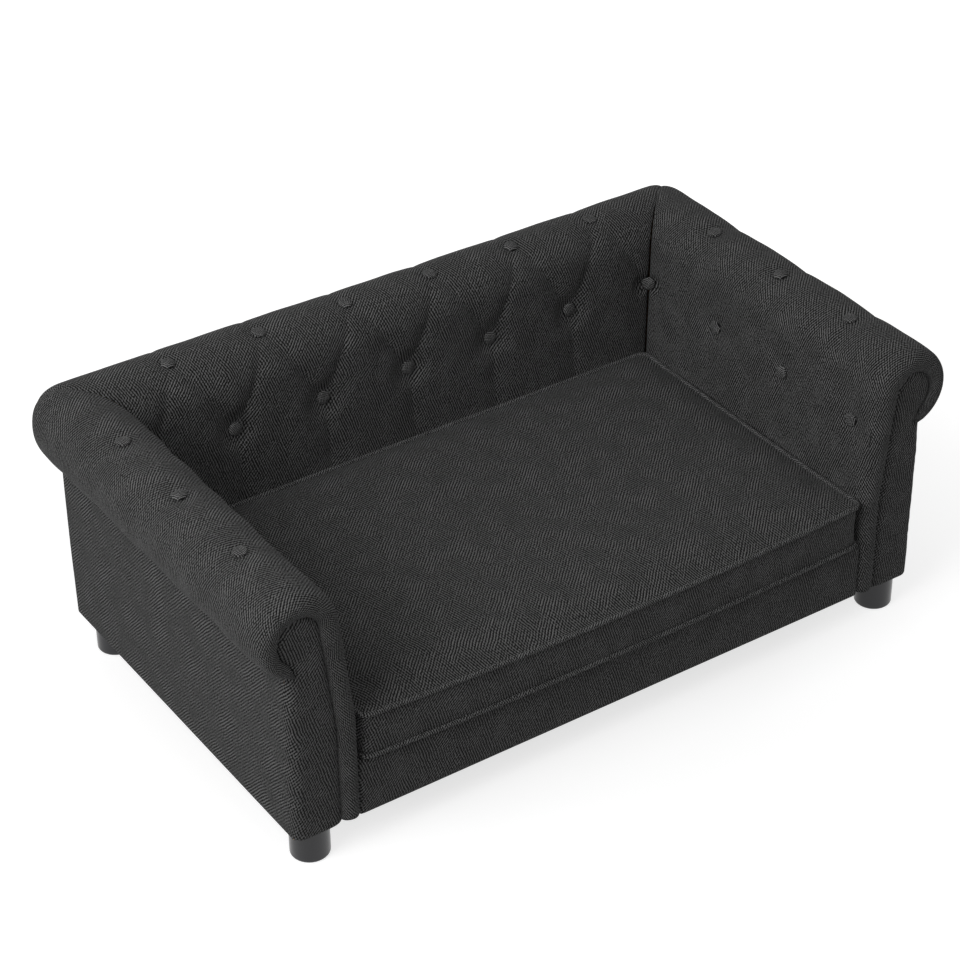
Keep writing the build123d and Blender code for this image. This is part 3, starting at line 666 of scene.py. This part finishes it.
def cushion_plan(u, v):
    """Plan of the cushion over a square from -1 to 1: a bowed front and rounded corners."""
    half_x, half_y = cushion_side, cushion_half
    ru, rv = cushion_corner / half_x, cushion_corner / half_y
    a = unit((np.abs(u) - (1 - ru)) / ru)
    b = unit((np.abs(v) - (1 - rv)) / rv)
    round_a, round_b = a * np.sqrt(1 - b**2 / 2), b * np.sqrt(1 - a**2 / 2)
    u = np.sign(u) * np.where(a > 0, 1 - ru + ru * round_a, np.abs(u))
    v = np.sign(v) * np.where(b > 0, 1 - rv + rv * round_b, np.abs(v))
    x = half_x * u
    y = cushion_middle + half_y * v
    y = y - cushion_bulge * (1 - u**2) * unit(-v) ** 2
    x = x * (1 - cushion_waist / half_x * (1 - v**2))
    return x, y


def seam_sag(x, y):
    """How much the front of the cushion hangs below its level between the corners."""
    ahead = unit((cushion_back - y) / (2 * cushion_half))
    return front_sag * (1 - (x / cushion_side) ** 2) * ahead**3


def cushion_cover():
    """The closed cover: a top, a bottom and a band, blown up a little by the foam inside."""
    columns, rows = cushion_columns, cushion_rows
    u, v = np.meshgrid(np.linspace(-1, 1, columns), np.linspace(-1, 1, rows), indexing="xy")
    x, y = cushion_plan(u, v)
    top = stacked(x, y, cushion_seam - seam_sag(x, y)).reshape(-1, 3)
    bottom = stacked(x, y, cushion_bottom + 0.2).reshape(-1, 3)
    index = np.arange(rows * columns).reshape(rows, columns)
    loop = np.concatenate([index[0, :-1], index[:-1, -1], index[-1, :0:-1], index[:0:-1, 0]])
    offset = rows * columns
    zip_half = 6.4
    levels = [137.5, 146, zip_z - zip_half, zip_z, zip_z + zip_half, 175.5, 184.5]
    band = []
    for level in levels:
        ring = top[loop].copy()
        share = (level - cushion_bottom) / (cushion_seam - cushion_bottom)
        ring[:, 2] = cushion_bottom + share * (ring[:, 2] - cushion_bottom)
        band.append(ring)
    points = np.vstack([top, bottom] + band)
    count = len(loop)
    around = [2 * offset + i * count + np.arange(count) for i in range(len(levels))]
    rings = [loop + offset, *around, loop]
    flat = lattice_quads(rows, columns)
    quads = [flat, flat[:, ::-1] + offset]
    along = lengths(top[[*loop, loop[0]]])
    corner_uv = [points[faces.reshape(-1)][:, :2] for faces in quads]
    heights = [cushion_bottom] + levels + [cushion_seam]
    for low, high, low_z, high_z in zip(rings, rings[1:], heights, heights[1:]):
        quads.append(np.stack([low, np.roll(low, -1), np.roll(high, -1), high], axis=-1))
        start, end = along[:-1], along[1:]
        corners = [(start, low_z), (end, low_z), (end, high_z), (start, high_z)]
        corner_uv.append(np.stack([stacked(*c) for c in corners], axis=1).reshape(-1, 2))
    quads = np.vstack(quads)
    piece = mesh_piece("cushion_cover", points, quads, None, np.vstack(corner_uv))
    # The seams are held, and so is the band round the zip
    held = np.concatenate([r for r, z in zip(rings[1:-1], levels) if abs(z - zip_z) < 10])
    x, y, _ = points[held].T
    held = held[(y > cushion_back - 3) & (np.abs(x) < zip_end + 20)]
    return piece, points, np.concatenate([loop, loop + offset, held]), loop


def blow_up(piece, pinned):
    """Cloth pressure on a closed cover whose seams are held."""
    group = piece.vertex_groups.new(name="held")
    group.add([int(i) for i in pinned], 1.0, "REPLACE")
    cloth = piece.modifiers.new("foam", "CLOTH")
    settings = {
        "quality": 6, "mass": 0.3, "tension_stiffness": 30, "compression_stiffness": 30,
        "bending_stiffness": 2.0, "use_pressure": True, "uniform_pressure_force": 4.0,
        "vertex_group_mass": "held", "shrink_min": -0.004,
    }
    for key, value in settings.items():
        setattr(cloth.settings, key, value)
    cloth.settings.effector_weights.gravity = 0
    cloth.collision_settings.use_collision = False
    cloth.point_cache.frame_start = 1
    cloth.point_cache.frame_end = 20
    scene = bpy.context.scene
    for number in range(1, 21):
        scene.frame_set(number)
    shown = piece.evaluated_get(bpy.context.evaluated_depsgraph_get())
    moved = np.empty(len(piece.data.vertices) * 3)
    shown.data.vertices.foreach_get("co", moved)
    piece.modifiers.remove(cloth)
    piece.vertex_groups.remove(group)
    scene.frame_set(1)
    return moved.reshape(-1, 3) / MM


def open_for_zip(grown):
    """Takes away the faces of the band in front of the zip."""
    gone = []
    for face in grown.faces:
        middle = face.calc_center_median() / MM
        at_zip = middle.y > cushion_back - 3 and abs(middle.z - zip_z) < 6
        if at_zip and max(abs(v.co.x) for v in face.verts) < (zip_end + 2) * MM:
            gone.append(face)
    bmesh.ops.delete(grown, geom=gone, context="FACES")


def seat_cushion():
    piece, points, held, loop = cushion_cover()
    offset = cushion_columns * cushion_rows
    # The bottom lies flat on the deck, and nothing may swell further than the cap
    cap = 9.0
    shift = blow_up(piece, held) - points
    far = np.linalg.norm(shift, axis=1)
    shift *= np.minimum(1, cap / np.maximum(far, 1e-6))[:, None]
    result = points + shift
    result[offset : 2 * offset, 2] = cushion_bottom + 0.2
    # Foam crowns the top
    u = unit(np.abs(result[:offset, 0]) / cushion_side)
    v = unit(np.abs(result[:offset, 1] - cushion_middle) / cushion_half)
    crown = 6.0 * (1 - u**4) * (1 - v**4)
    edge = np.maximum(np.minimum((1 - u) * cushion_side, (1 - v) * cushion_half) - 3.5, 0)
    crown += 1.6 * settled(edge, 9)
    crown += ripple(result[:offset, 0], result[:offset, 1], 71, 0.45, 60, 220) * settled(edge, 25)
    result[:offset, 2] = points[:offset, 2] + shift[:offset, 2] * (1 - bell(edge, 0, 8)) + crown
    piece.data.vertices.foreach_set("co", (result * MM).reshape(-1))
    piece.data.update()
    # The zip's opening in the back of the band
    rework(piece, open_for_zip)
    softer = piece.modifiers.new("smooth", "SUBSURF")
    softer.levels = softer.render_levels = 1
    return piece, points, loop


def cushion_welts(points, loop):
    """The raised seams round the top and the bottom of the band."""
    count, sides = len(loop), 12
    ring = points[loop]
    ahead = np.roll(ring, -1, axis=0) - np.roll(ring, 1, axis=0)
    ahead /= np.linalg.norm(ahead, axis=1)[:, None]
    away = np.stack([ahead[:, 1], -ahead[:, 0]], axis=-1)
    if np.sum(away * (ring[:, :2] - (0, cushion_middle))) < 0:
        away = -away
    along = lengths(points[[*loop, loop[0]]])
    x, y, z = (ring[:, i : i + 1] for i in range(3))
    away_x, away_y = away[:, :1], away[:, 1:]
    turns = np.linspace(0, 2 * pi, sides + 1)
    # At the front they stand out further, which shows the seams from above
    reach = piping_radius * np.cos(turns) + 2.6 * unit(-away_y) - 1.2
    all_points, all_quads = [], []
    for base, drop in ((z, 0.8), (cushion_bottom, 3.4)):
        height = base + piping_radius * np.sin(turns) + drop
        shape = stacked(x + away_x * reach, y + away_y * reach, height)
        flat = np.concatenate([shape, shape[:1]]).reshape(-1, 3)
        quads = outwards(flat, lattice_quads(count + 1, sides + 1), (0, -50, np.mean(base)))
        all_quads.append(quads + len(flat) * len(all_points))
        all_points.append(flat)
    uv = np.vstack([stacked(along[:, None], turns * piping_radius).reshape(-1, 2)] * 2)
    piece = mesh_piece("cushion_piping", np.vstack(all_points), np.vstack(all_quads), uv)
    weld_points(piece)
    return piece


# ---------------------------------------------------------------- flat cloths
def flat_cloth(name, low, high, level, thickness):
    """A thin sheet stretched over a rectangle."""
    across, ahead = (np.linspace(a, b, int((b - a) / 9)) for a, b in zip(low, high))
    xs, ys = np.meshgrid(across, ahead)
    points = stacked(xs, ys, level).reshape(-1, 3)
    piece = mesh_piece(name, points, lattice_quads(*xs.shape), points[:, :2])
    wall = piece.modifiers.new("wall", "SOLIDIFY")
    wall.thickness = thickness * MM
    wall.offset = -1
    return piece


# ---------------------------------------------------------------- node trees
def put(tree, kind, links=None, **settings):
    """Adds a node with its settings, and sets or links its inputs by name or place."""
    made = tree.nodes.new(kind)
    for key, value in settings.items():
        setattr(made, key, value)
    for key, value in (links or {}).items():
        socket = made.inputs[key]
        if isinstance(value, bpy.types.NodeSocket):
            tree.links.new(value, socket)
        else:
            socket.default_value = value
    return made


def first(tree, kind, links=None, **settings):
    """Adds a node and gives its first output."""
    return put(tree, kind, links, **settings).outputs[0]


def colour(code):
    """An sRGB hex value as linear red, green, blue and alpha."""
    parts = [int(code[i : i + 2], 16) / 255 for i in (1, 3, 5)]
    return [c / 12.92 if c <= 0.04045 else ((c + 0.055) / 1.055) ** 2.4 for c in parts] + [1.0]


def new_material(name):
    made = bpy.data.materials.new(name)
    made.use_nodes = True
    made.node_tree.nodes.clear()
    return made, made.node_tree


def maths(tree, operation, *values):
    """A maths node on numbers and sockets; gives its result."""
    return first(tree, "ShaderNodeMath", dict(enumerate(values)), operation=operation)


def noise(tree, vector, scale, detail, **more):
    """A noise texture on a vector socket; gives its value."""
    links = {"Vector": vector, "Scale": scale, "Detail": detail, **more}
    return first(tree, "ShaderNodeTexNoise", links)


def spread(tree, value, low, high, start=0.0, end=1.0, **settings):
    """Maps a range of values onto another one."""
    links = {0: value, 1: low, 2: high, 3: start, 4: end}
    return first(tree, "ShaderNodeMapRange", links, **settings)


def blend(tree, share, low, high, **settings):
    """Mixes two colours, each a hex value or a socket."""
    low, high = (colour(c) if isinstance(c, str) else c for c in (low, high))
    links = {0: share, 6: low, 7: high}
    return put(tree, "ShaderNodeMix", links, data_type="RGBA", **settings).outputs[2]


def relief(tree, height, strength, distance):
    links = {"Strength": strength, "Distance": distance, "Height": height}
    return first(tree, "ShaderNodeBump", links)


def object_place(tree):
    return put(tree, "ShaderNodeTexCoord").outputs["Object"]


def seen_directly(tree):
    """1 for rays that come from the camera, a gloss or a clear material, else 0."""
    path = put(tree, "ShaderNodeLightPath").outputs
    shown = maths(tree, "MAXIMUM", path["Is Camera Ray"], path["Is Glossy Ray"])
    return maths(tree, "MAXIMUM", shown, path["Is Transmission Ray"])


def finish_material(tree, shader):
    put(tree, "ShaderNodeOutputMaterial", {"Surface": shader.outputs[0]})


def principled(tree, base, rough, **more):
    """Ends a material with one principled shader; more inputs are named with _ for a space."""
    links = {"Base Color": base, "Roughness": rough}
    links.update((name.replace("_", " "), value) for name, value in more.items())
    finish_material(tree, put(tree, "ShaderNodeBsdfPrincipled", links))


def woven_upholstery(name, dark, light, rib_mm=3.5):
    """Polyester upholstery cloth in a steep twill, piece-dyed charcoal. To the eye: slanted
    ribs broken into short floats, dark in the gaps, with cloudy wear and matt, hairy yarn.
    The real yarn is about 1 mm; the rib is the one size that shows from a step away."""
    made, tree = new_material(name)
    flat = first(tree, "ShaderNodeUVMap", uv_map="cloth")
    part = put(tree, "ShaderNodeSeparateXYZ", {0: flat}).outputs
    shift = maths(tree, "MULTIPLY", noise(tree, flat, 45.0, 3.0), 6.0)
    turn = 2 * pi / (rib_mm * MM * sqrt(2))
    rib_way = maths(tree, "MULTIPLY_ADD", maths(tree, "SUBTRACT", part[0], part[1]), turn, shift)
    float_way = maths(tree, "MULTIPLY_ADD", maths(tree, "ADD", part[0], part[1]), turn * 0.9, shift)
    floats = maths(tree, "SINE", maths(tree, "MULTIPLY_ADD", rib_way, 0.5, float_way))
    # In some patches the floats break the ribs, in others the ribs run on
    cloud = noise(tree, flat, 26.0, 4.0, Roughness=0.6)
    patch = spread(tree, cloud, 0.40, 0.60, 0.95, 0.35)
    ribs = maths(tree, "SINE", rib_way)
    broken = maths(tree, "MULTIPLY", floats, patch)
    weave = maths(tree, "MULTIPLY_ADD", ribs, maths(tree, "SUBTRACT", 1.3, patch), broken)
    fleck = spread(tree, noise(tree, flat, 420.0, 2.0), 0.3, 0.7, -0.7, 0.7)
    height = spread(tree, maths(tree, "ADD", weave, fleck), -0.5, 0.75, interpolation_type="SMOOTHSTEP")
    wear = spread(tree, cloud, 0.3, 0.7, 0.80, 1.22)
    shade = blend(tree, 1.0, blend(tree, height, dark, light), wear, blend_type="MULTIPLY")
    principled(
        tree, shade, 0.92, Specular_IOR_Level=0.2, Sheen_Weight=0.05, Sheen_Roughness=0.5,
        Sheen_Tint=colour("#909090"), Normal=relief(tree, height, 0.9, 0.001),
    )
    return made


def gloss_abs():
    """Moulded ABS, gloss black: a dark body with sharp, slightly cool reflections and faint
    moulding waves."""
    made, tree = new_material("gloss_black_abs")
    waves = noise(tree, object_place(tree), 40.0, 2.0)
    tint = blend(tree, waves, "#141418", "#1e1e24")
    rough = spread(tree, waves, 0.0, 1.0, 0.12, 0.26)
    principled(tree, tint, rough, IOR=1.5, Normal=relief(tree, waves, 0.08, 0.001))
    return made


def poplar_plywood():
    """Raw poplar plywood: pale brown veneer with long, slightly wavy grain, sawn and matt."""
    made, tree = new_material("raw_poplar_plywood")
    links = {"Vector": object_place(tree), "Scale": (6.0, 60.0, 60.0)}
    stretched = first(tree, "ShaderNodeMapping", links)
    grain = noise(tree, stretched, 6.0, 5.0, Distortion=0.4)
    tint = blend(tree, spread(tree, grain, 0.3, 0.7), "#b08a5e", "#d6b788")
    principled(tree, tint, 0.75, Normal=relief(tree, grain, 0.2, 0.0004))
    return made


def speckled(name, dark, light, scale, rough, depth=0.3):
    """A plain fibrous stuff: small light and dark specks and a fine uneven surface."""
    made, tree = new_material(name)
    specks = noise(tree, object_place(tree), scale, 4.0)
    tint = blend(tree, spread(tree, specks, 0.3, 0.7), dark, light)
    principled(tree, tint, rough, Normal=relief(tree, specks, depth, 0.0004))
    return made


def plated_steel(name, dark, light, rough):
    """Plated steel: metal with fine tumbling marks, duller where it is handled."""
    made, tree = new_material(name)
    marks = noise(tree, object_place(tree), 700.0, 3.0)
    dull = spread(tree, marks, 0.0, 1.0, rough - 0.08, rough + 0.1)
    principled(tree, blend(tree, marks, dark, light), dull, Metallic=1.0)
    return made


def lining_cloth():
    """Spun-bonded black polypropylene: thin matt felt with a fine square emboss."""
    made, tree = new_material("spunbond_lining")
    links = {"Vector": object_place(tree), "Scale": 500.0, "Randomness": 0.35}
    cells = first(tree, "ShaderNodeTexVoronoi", links)
    tint = blend(tree, cells, "#17171a", "#2b2b2e")
    principled(tree, tint, 0.85, Normal=relief(tree, cells, 0.3, 0.0003))
    return made


finishes = {
    "woven_cloth": woven_upholstery("charcoal_twill_upholstery", "#050505", "#6d6d6d"),
    "foot_plastic": gloss_abs(),
    "plywood": poplar_plywood(),
    "thin_board": speckled("raw_hardboard", "#5d4027", "#80603d", 300.0, 0.7),
    "paper_tube": speckled("wound_kraft_tube", "#8a6a48", "#a98860", 120.0, 0.8),
    "foam": speckled("open_cell_foam", "#c9bd96", "#e6dcb8", 500.0, 0.95, 0.6),
    "lining_cloth": lining_cloth(),
    "steel": plated_steel("zinc_plated_steel", "#8d8d88", "#bcbcb6", 0.38),
    "zip_metal": plated_steel("dark_plated_steel", "#3a3a3c", "#66666a", 0.34),
    "zip_tape": speckled("zip_tape_cloth", "#151516", "#29292b", 1500.0, 0.85),
}
# The piping's copy of the cloth has lighter yarn than the rest: a painted highlight along the seams.
piping_cloth_painted_highlight = woven_upholstery("charcoal_twill_piping_painted_highlight", "#070707", "#7c7c7c", rib_mm=3.0)
# The buttons' copy of the cloth is lighter than the rest: a painted highlight on the button faces.
button_cloth_painted_highlight = woven_upholstery("charcoal_twill_buttons_painted_highlight", "#161616", "#808080", rib_mm=2.6)


# ---------------------------------------------------------------- pieces that repeat
def plain_mesh(name, maker, material, body):
    """Turns what a modifier makes into a plain mesh object."""
    graph = bpy.context.evaluated_depsgraph_get()
    mesh = bpy.data.meshes.new_from_object(maker.evaluated_get(graph))
    mesh.name = name
    piece = new_object(name, mesh)
    if not mesh.materials:
        mesh.materials.append(material)
    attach(piece, body)
    return piece


def facing_points(name, spots):
    """Bare points, each with the way that it faces, in metres."""
    mesh = bpy.data.meshes.new(name)
    mesh.from_pydata([Vector(place) * MM for place, _ in spots], [], [])
    way = mesh.attributes.new("facing", "FLOAT_VECTOR", "POINT")
    way.data.foreach_set("vector", [v for _, facing in spots for v in facing])
    return new_object(name, mesh)


def covered_button():
    """One covered button: a shallow dome with a soft rim and a flat back, turned about Z."""
    radii = np.array([0, 2.5, 4.9, 6.9, 8.4, 9.3, button_radius, 9.2, 7.8, 0])[:, None]
    heights = np.array([4.7, 4.65, 4.35, 3.75, 2.9, 1.9, 1.0, 0.2, 0, 0])[:, None]
    turns = np.linspace(0, 2 * pi, 33)[None, :]
    points = stacked(radii * np.cos(turns), radii * np.sin(turns), heights)
    quads = lattice_quads(*points.shape[:2])[:, ::-1]
    points = points.reshape(-1, 3)
    piece = mesh_piece("button_pattern", points, quads, points[:, :2] * 1.15)
    weld_points(piece)
    return piece


def scatter_tree():
    """Puts a pattern piece on every point, turned to face as the point does, and then about
    its own axis by chance, up to an angle."""
    tree = bpy.data.node_groups.new("sewn_pieces", "GeometryNodeTree")

    def socket(name, kind, way="INPUT"):
        return tree.interface.new_socket(name, in_out=way, socket_type="NodeSocket" + kind).identifier

    socket("Geometry", "Geometry")
    named = [socket("Pattern", "Object"), socket("Turn", "Float"), socket("Cloth", "Material")]
    socket("Geometry", "Geometry", "OUTPUT")
    given = put(tree, "NodeGroupInput").outputs
    way = first(tree, "GeometryNodeInputNamedAttribute", {"Name": "facing"}, data_type="FLOAT_VECTOR")
    turned = first(tree, "FunctionNodeAlignRotationToVector", {"Vector": way}, axis="Z")
    links = {"Seed": 4, 2: 0.0, 3: given["Turn"]}
    dice = put(tree, "FunctionNodeRandomValue", links, data_type="FLOAT")
    spin = first(tree, "ShaderNodeCombineXYZ", {2: dice.outputs[1]})
    own = first(tree, "FunctionNodeRotateRotation", {0: turned, 1: spin}, rotation_space="LOCAL")
    source = put(tree, "GeometryNodeObjectInfo", {"Object": given["Pattern"]}).outputs["Geometry"]
    links = {"Points": given["Geometry"], "Instance": source, "Rotation": own}
    placed = first(tree, "GeometryNodeInstanceOnPoints", links)
    real = first(tree, "GeometryNodeRealizeInstances", {0: placed})
    dressed = first(tree, "GeometryNodeSetMaterial", {"Geometry": real, "Material": given["Cloth"]})
    put(tree, "NodeGroupOutput", {0: dressed})
    return tree, named


def scattered(name, spots, pattern, turn, material, body):
    """A pattern piece on every spot, made into one plain mesh that rides on a body."""
    holder = facing_points(name + "_points", spots)
    maker = holder.modifiers.new("pieces", "NODES")
    maker.node_group = sewn_pieces
    for socket, value in zip(sockets, (pattern, turn, material)):
        maker[socket] = value
    piece = plain_mesh(name, holder, material, body)
    bpy.data.objects.remove(holder)
    piece.data.polygons.foreach_set("use_smooth", np.ones(len(piece.data.polygons), bool))
    return piece


def sewn_buttons(name, spots, nodes):
    """One group of buttons, each at the bottom of its hollow."""
    placed = [(tuple(np.asarray(p) - np.asarray(f) * depth), tuple(f)) for p, f, depth in spots]
    piece = scattered(name, placed, button, 2 * pi, button_cloth_painted_highlight, "sofa")
    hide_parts(*nodes)


def zip_tooth():
    """Half a turn of the zip's nylon coil: a low rounded bar across the ridge."""
    profile = [(-0.55, 0.0), (-0.4, 0.2), (0.0, 0.27), (0.4, 0.2), (0.55, 0.0)]
    points = np.array([(x, y, z) for y in (-1.9, 1.9) for x, z in profile])
    quads = np.array([(i, i + 1, i + 6, i + 5) for i in range(4)])
    return mesh_piece("tooth_pattern", points, quads, points[:, :2])


# ---------------------------------------------------------------- dressing
def dress(piece, slot, nodes, fill=None, body="sofa", material=None):
    """Gives a piece its material, from its slot unless one is given, parents it to what it rides on and
    hides the parts that it stands for.
    """
    piece.data.materials.clear()
    piece.data.materials.append(material or finishes[slot])
    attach(piece, body)
    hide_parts(*nodes)


def upholster(piece, nodes, fill, **more):
    dress(piece, "woven_cloth", nodes, fill, **more)


arms = (("left_arm", -1, left_upper_angle), ("right_arm", 1, upper_angle))
upholster(back_upholstery(), ["back_cover", "back_foam"], 0.8)
for arm, side, high_angle in arms:
    padding = arm_upholstery(f"{arm}_upholstery", side, high_angle)
    upholster(padding, [f"{arm}_cover", f"{arm}_foam", f"{arm}_scroll_border"], 0.85)
    outer = side_cover(f"{arm}_outer_cloth", side)
    upholster(outer, [f"{arm}_outer_cover", f"{arm}_scroll_cover", f"{arm}_scroll_panel"], 0.95)
upholster(back_panel(), ["back_outer_cover"], 0.95)
upholster(rail_cover(), ["front_rail_cover", "front_rail_foam"], 0.9)

cover, rim_points, rim_loop = seat_cushion()
inside = ["cushion_foam", "cushion_top", "cushion_bottom", "cushion_band"]
upholster(cover, inside, 0.85, body="cushion")
piping = cushion_welts(rim_points, rim_loop)
upholster(piping, ["cushion_welts"], 1.0, body="cushion", material=piping_cloth_painted_highlight)

button = covered_button()
sewn_pieces, sockets = scatter_tree()
deep, shallow = button_depth(back_lower_hollow), button_depth(back_upper_hollow)
lower_all = [(*spot, deep) for spot in back_spots(lower_columns, lower_spot)]
lower_all += [(*spot, button_depth(corner_hollow)) for spot in corner_spots()]
sewn_buttons("back_lower_button_caps", lower_all, ["back_lower_buttons"])
upper_all = [(*spot, shallow) for spot in back_spots(upper_columns, upper_spot)]
sewn_buttons("back_upper_button_caps", upper_all, ["back_upper_buttons"])
deep = button_depth(arm_hollow)
for arm, side, high_angle in arms:
    placed = [((side * p[0], *p[1:]), (side * f[0], *f[1:]), deep) for p, f in arm_tufts(high_angle)]
    sewn_buttons(f"{arm}_button_caps", placed, [f"{arm}_buttons"])
bpy.data.objects.remove(button)
tooth = zip_tooth()
tooth_spots = [((x, zip_face, zip_z), (0, 1, 0)) for x in np.arange(0.8 - zip_end, zip_end - 0.7, 1.6)]
teeth = scattered("cushion_zip_teeth", tooth_spots, tooth, 0.0, finishes["zip_tape"], "cushion")
bpy.data.objects.remove(tooth)

deck = flat_cloth("deck_lining", (-frame_side_x, board_front), (frame_side_x, deck_back), deck_top, 1.4)
dress(deck, "lining_cloth", ["deck_cloth"])
low, high = (cloth_gauge - side_face, board_front), (side_face - cloth_gauge, back_face - cloth_gauge)
below = flat_cloth("underside_lining", low, high, foot_height + 1.3, 1.2)
dress(below, "lining_cloth", ["dust_cloth"])

for part in frame["record"]["subparts"]:
    node = frame["nodes"][part["node"]]
    for place in node.material_slots:
        place.material = finishes[part["material_slot"]]

# ---------------------------------------------------------------- stage, light and camera
stage_mesh = bpy.data.meshes.new("floor")
stage_mesh.from_pydata([(-12, -12, 0), (12, -12, 0), (12, 12, 0), (-12, 12, 0)], [], [(0, 1, 2, 3)])
floor = new_object("floor", stage_mesh)
white, tree = new_material("studio_floor")
matt = first(tree, "ShaderNodeBsdfDiffuse", {"Color": colour("#bcbcbc")})
far = put(tree, "ShaderNodeVectorMath", {0: object_place(tree)}, operation="LENGTH").outputs["Value"]
strength = spread(tree, far, 0.38, 1.2, 0.715)
glow = first(tree, "ShaderNodeEmission", {"Color": colour("#ffffff"), "Strength": strength})
chosen = first(tree, "ShaderNodeMixShader", {0: seen_directly(tree), 2: glow})
finish_material(tree, put(tree, "ShaderNodeAddShader", {0: matt, 1: chosen}))
stage_mesh.materials.append(white)

world = bpy.data.worlds.new("studio")
bpy.context.scene.world = world
world.use_nodes = True
tree = world.node_tree
tree.nodes.clear()
ambient, backdrop = (
    first(tree, "ShaderNodeBackground", {"Color": colour("#ffffff"), "Strength": strength})
    for strength in (0.05, 1.0)
)
mixed = first(tree, "ShaderNodeMixShader", {0: seen_directly(tree), 1: ambient, 2: backdrop})
put(tree, "ShaderNodeOutputWorld", {"Surface": mixed})

# Square lamps, in metres and watts
lamp_size = 2.2
light_aim = Vector((0, 0, 0.2))
lights = {
    "key_left": ((-2.6, -0.5, 2.9), 51),
    "low_left": ((-3.3, -0.9, 2.1), 35),
    "front": ((0.3, -2.6, 2.9), 18),
    "top": ((0.0, 0.0, 3.3), 8),
    "rear": ((0.8, 3.4, 1.5), 10),
}
for name, (place, power) in lights.items():
    lamp = bpy.data.lights.new(name, "AREA")
    lamp.shape = "SQUARE"
    lamp.size = lamp_size
    lamp.energy = power
    made = new_object(name, lamp)
    made.location = place
    made.rotation_euler = (light_aim - Vector(place)).to_track_quat("-Z", "Y").to_euler()

# The camera stands where the one of the photo stood
camera_data = bpy.data.cameras.new("camera")
camera_data.sensor_width = 36.0
camera_data.lens = 103.08
camera_data.clip_end = 100.0
camera = new_object("camera", camera_data)
right = Vector((0.82761461, -0.56120497, -0.01015121))
up = Vector((0.32023244, 0.45724243, 0.82968702))
back = Vector((-0.46098291, -0.68991184, 0.55813655))
turned = Matrix((right, up, back)).transposed().to_4x4()
turned.translation = Vector((-1.6471, -2.4419, 2.2004))
camera.matrix_world = turned
bpy.context.scene.camera = camera
bpy.context.scene.view_settings.view_transform = "Standard"
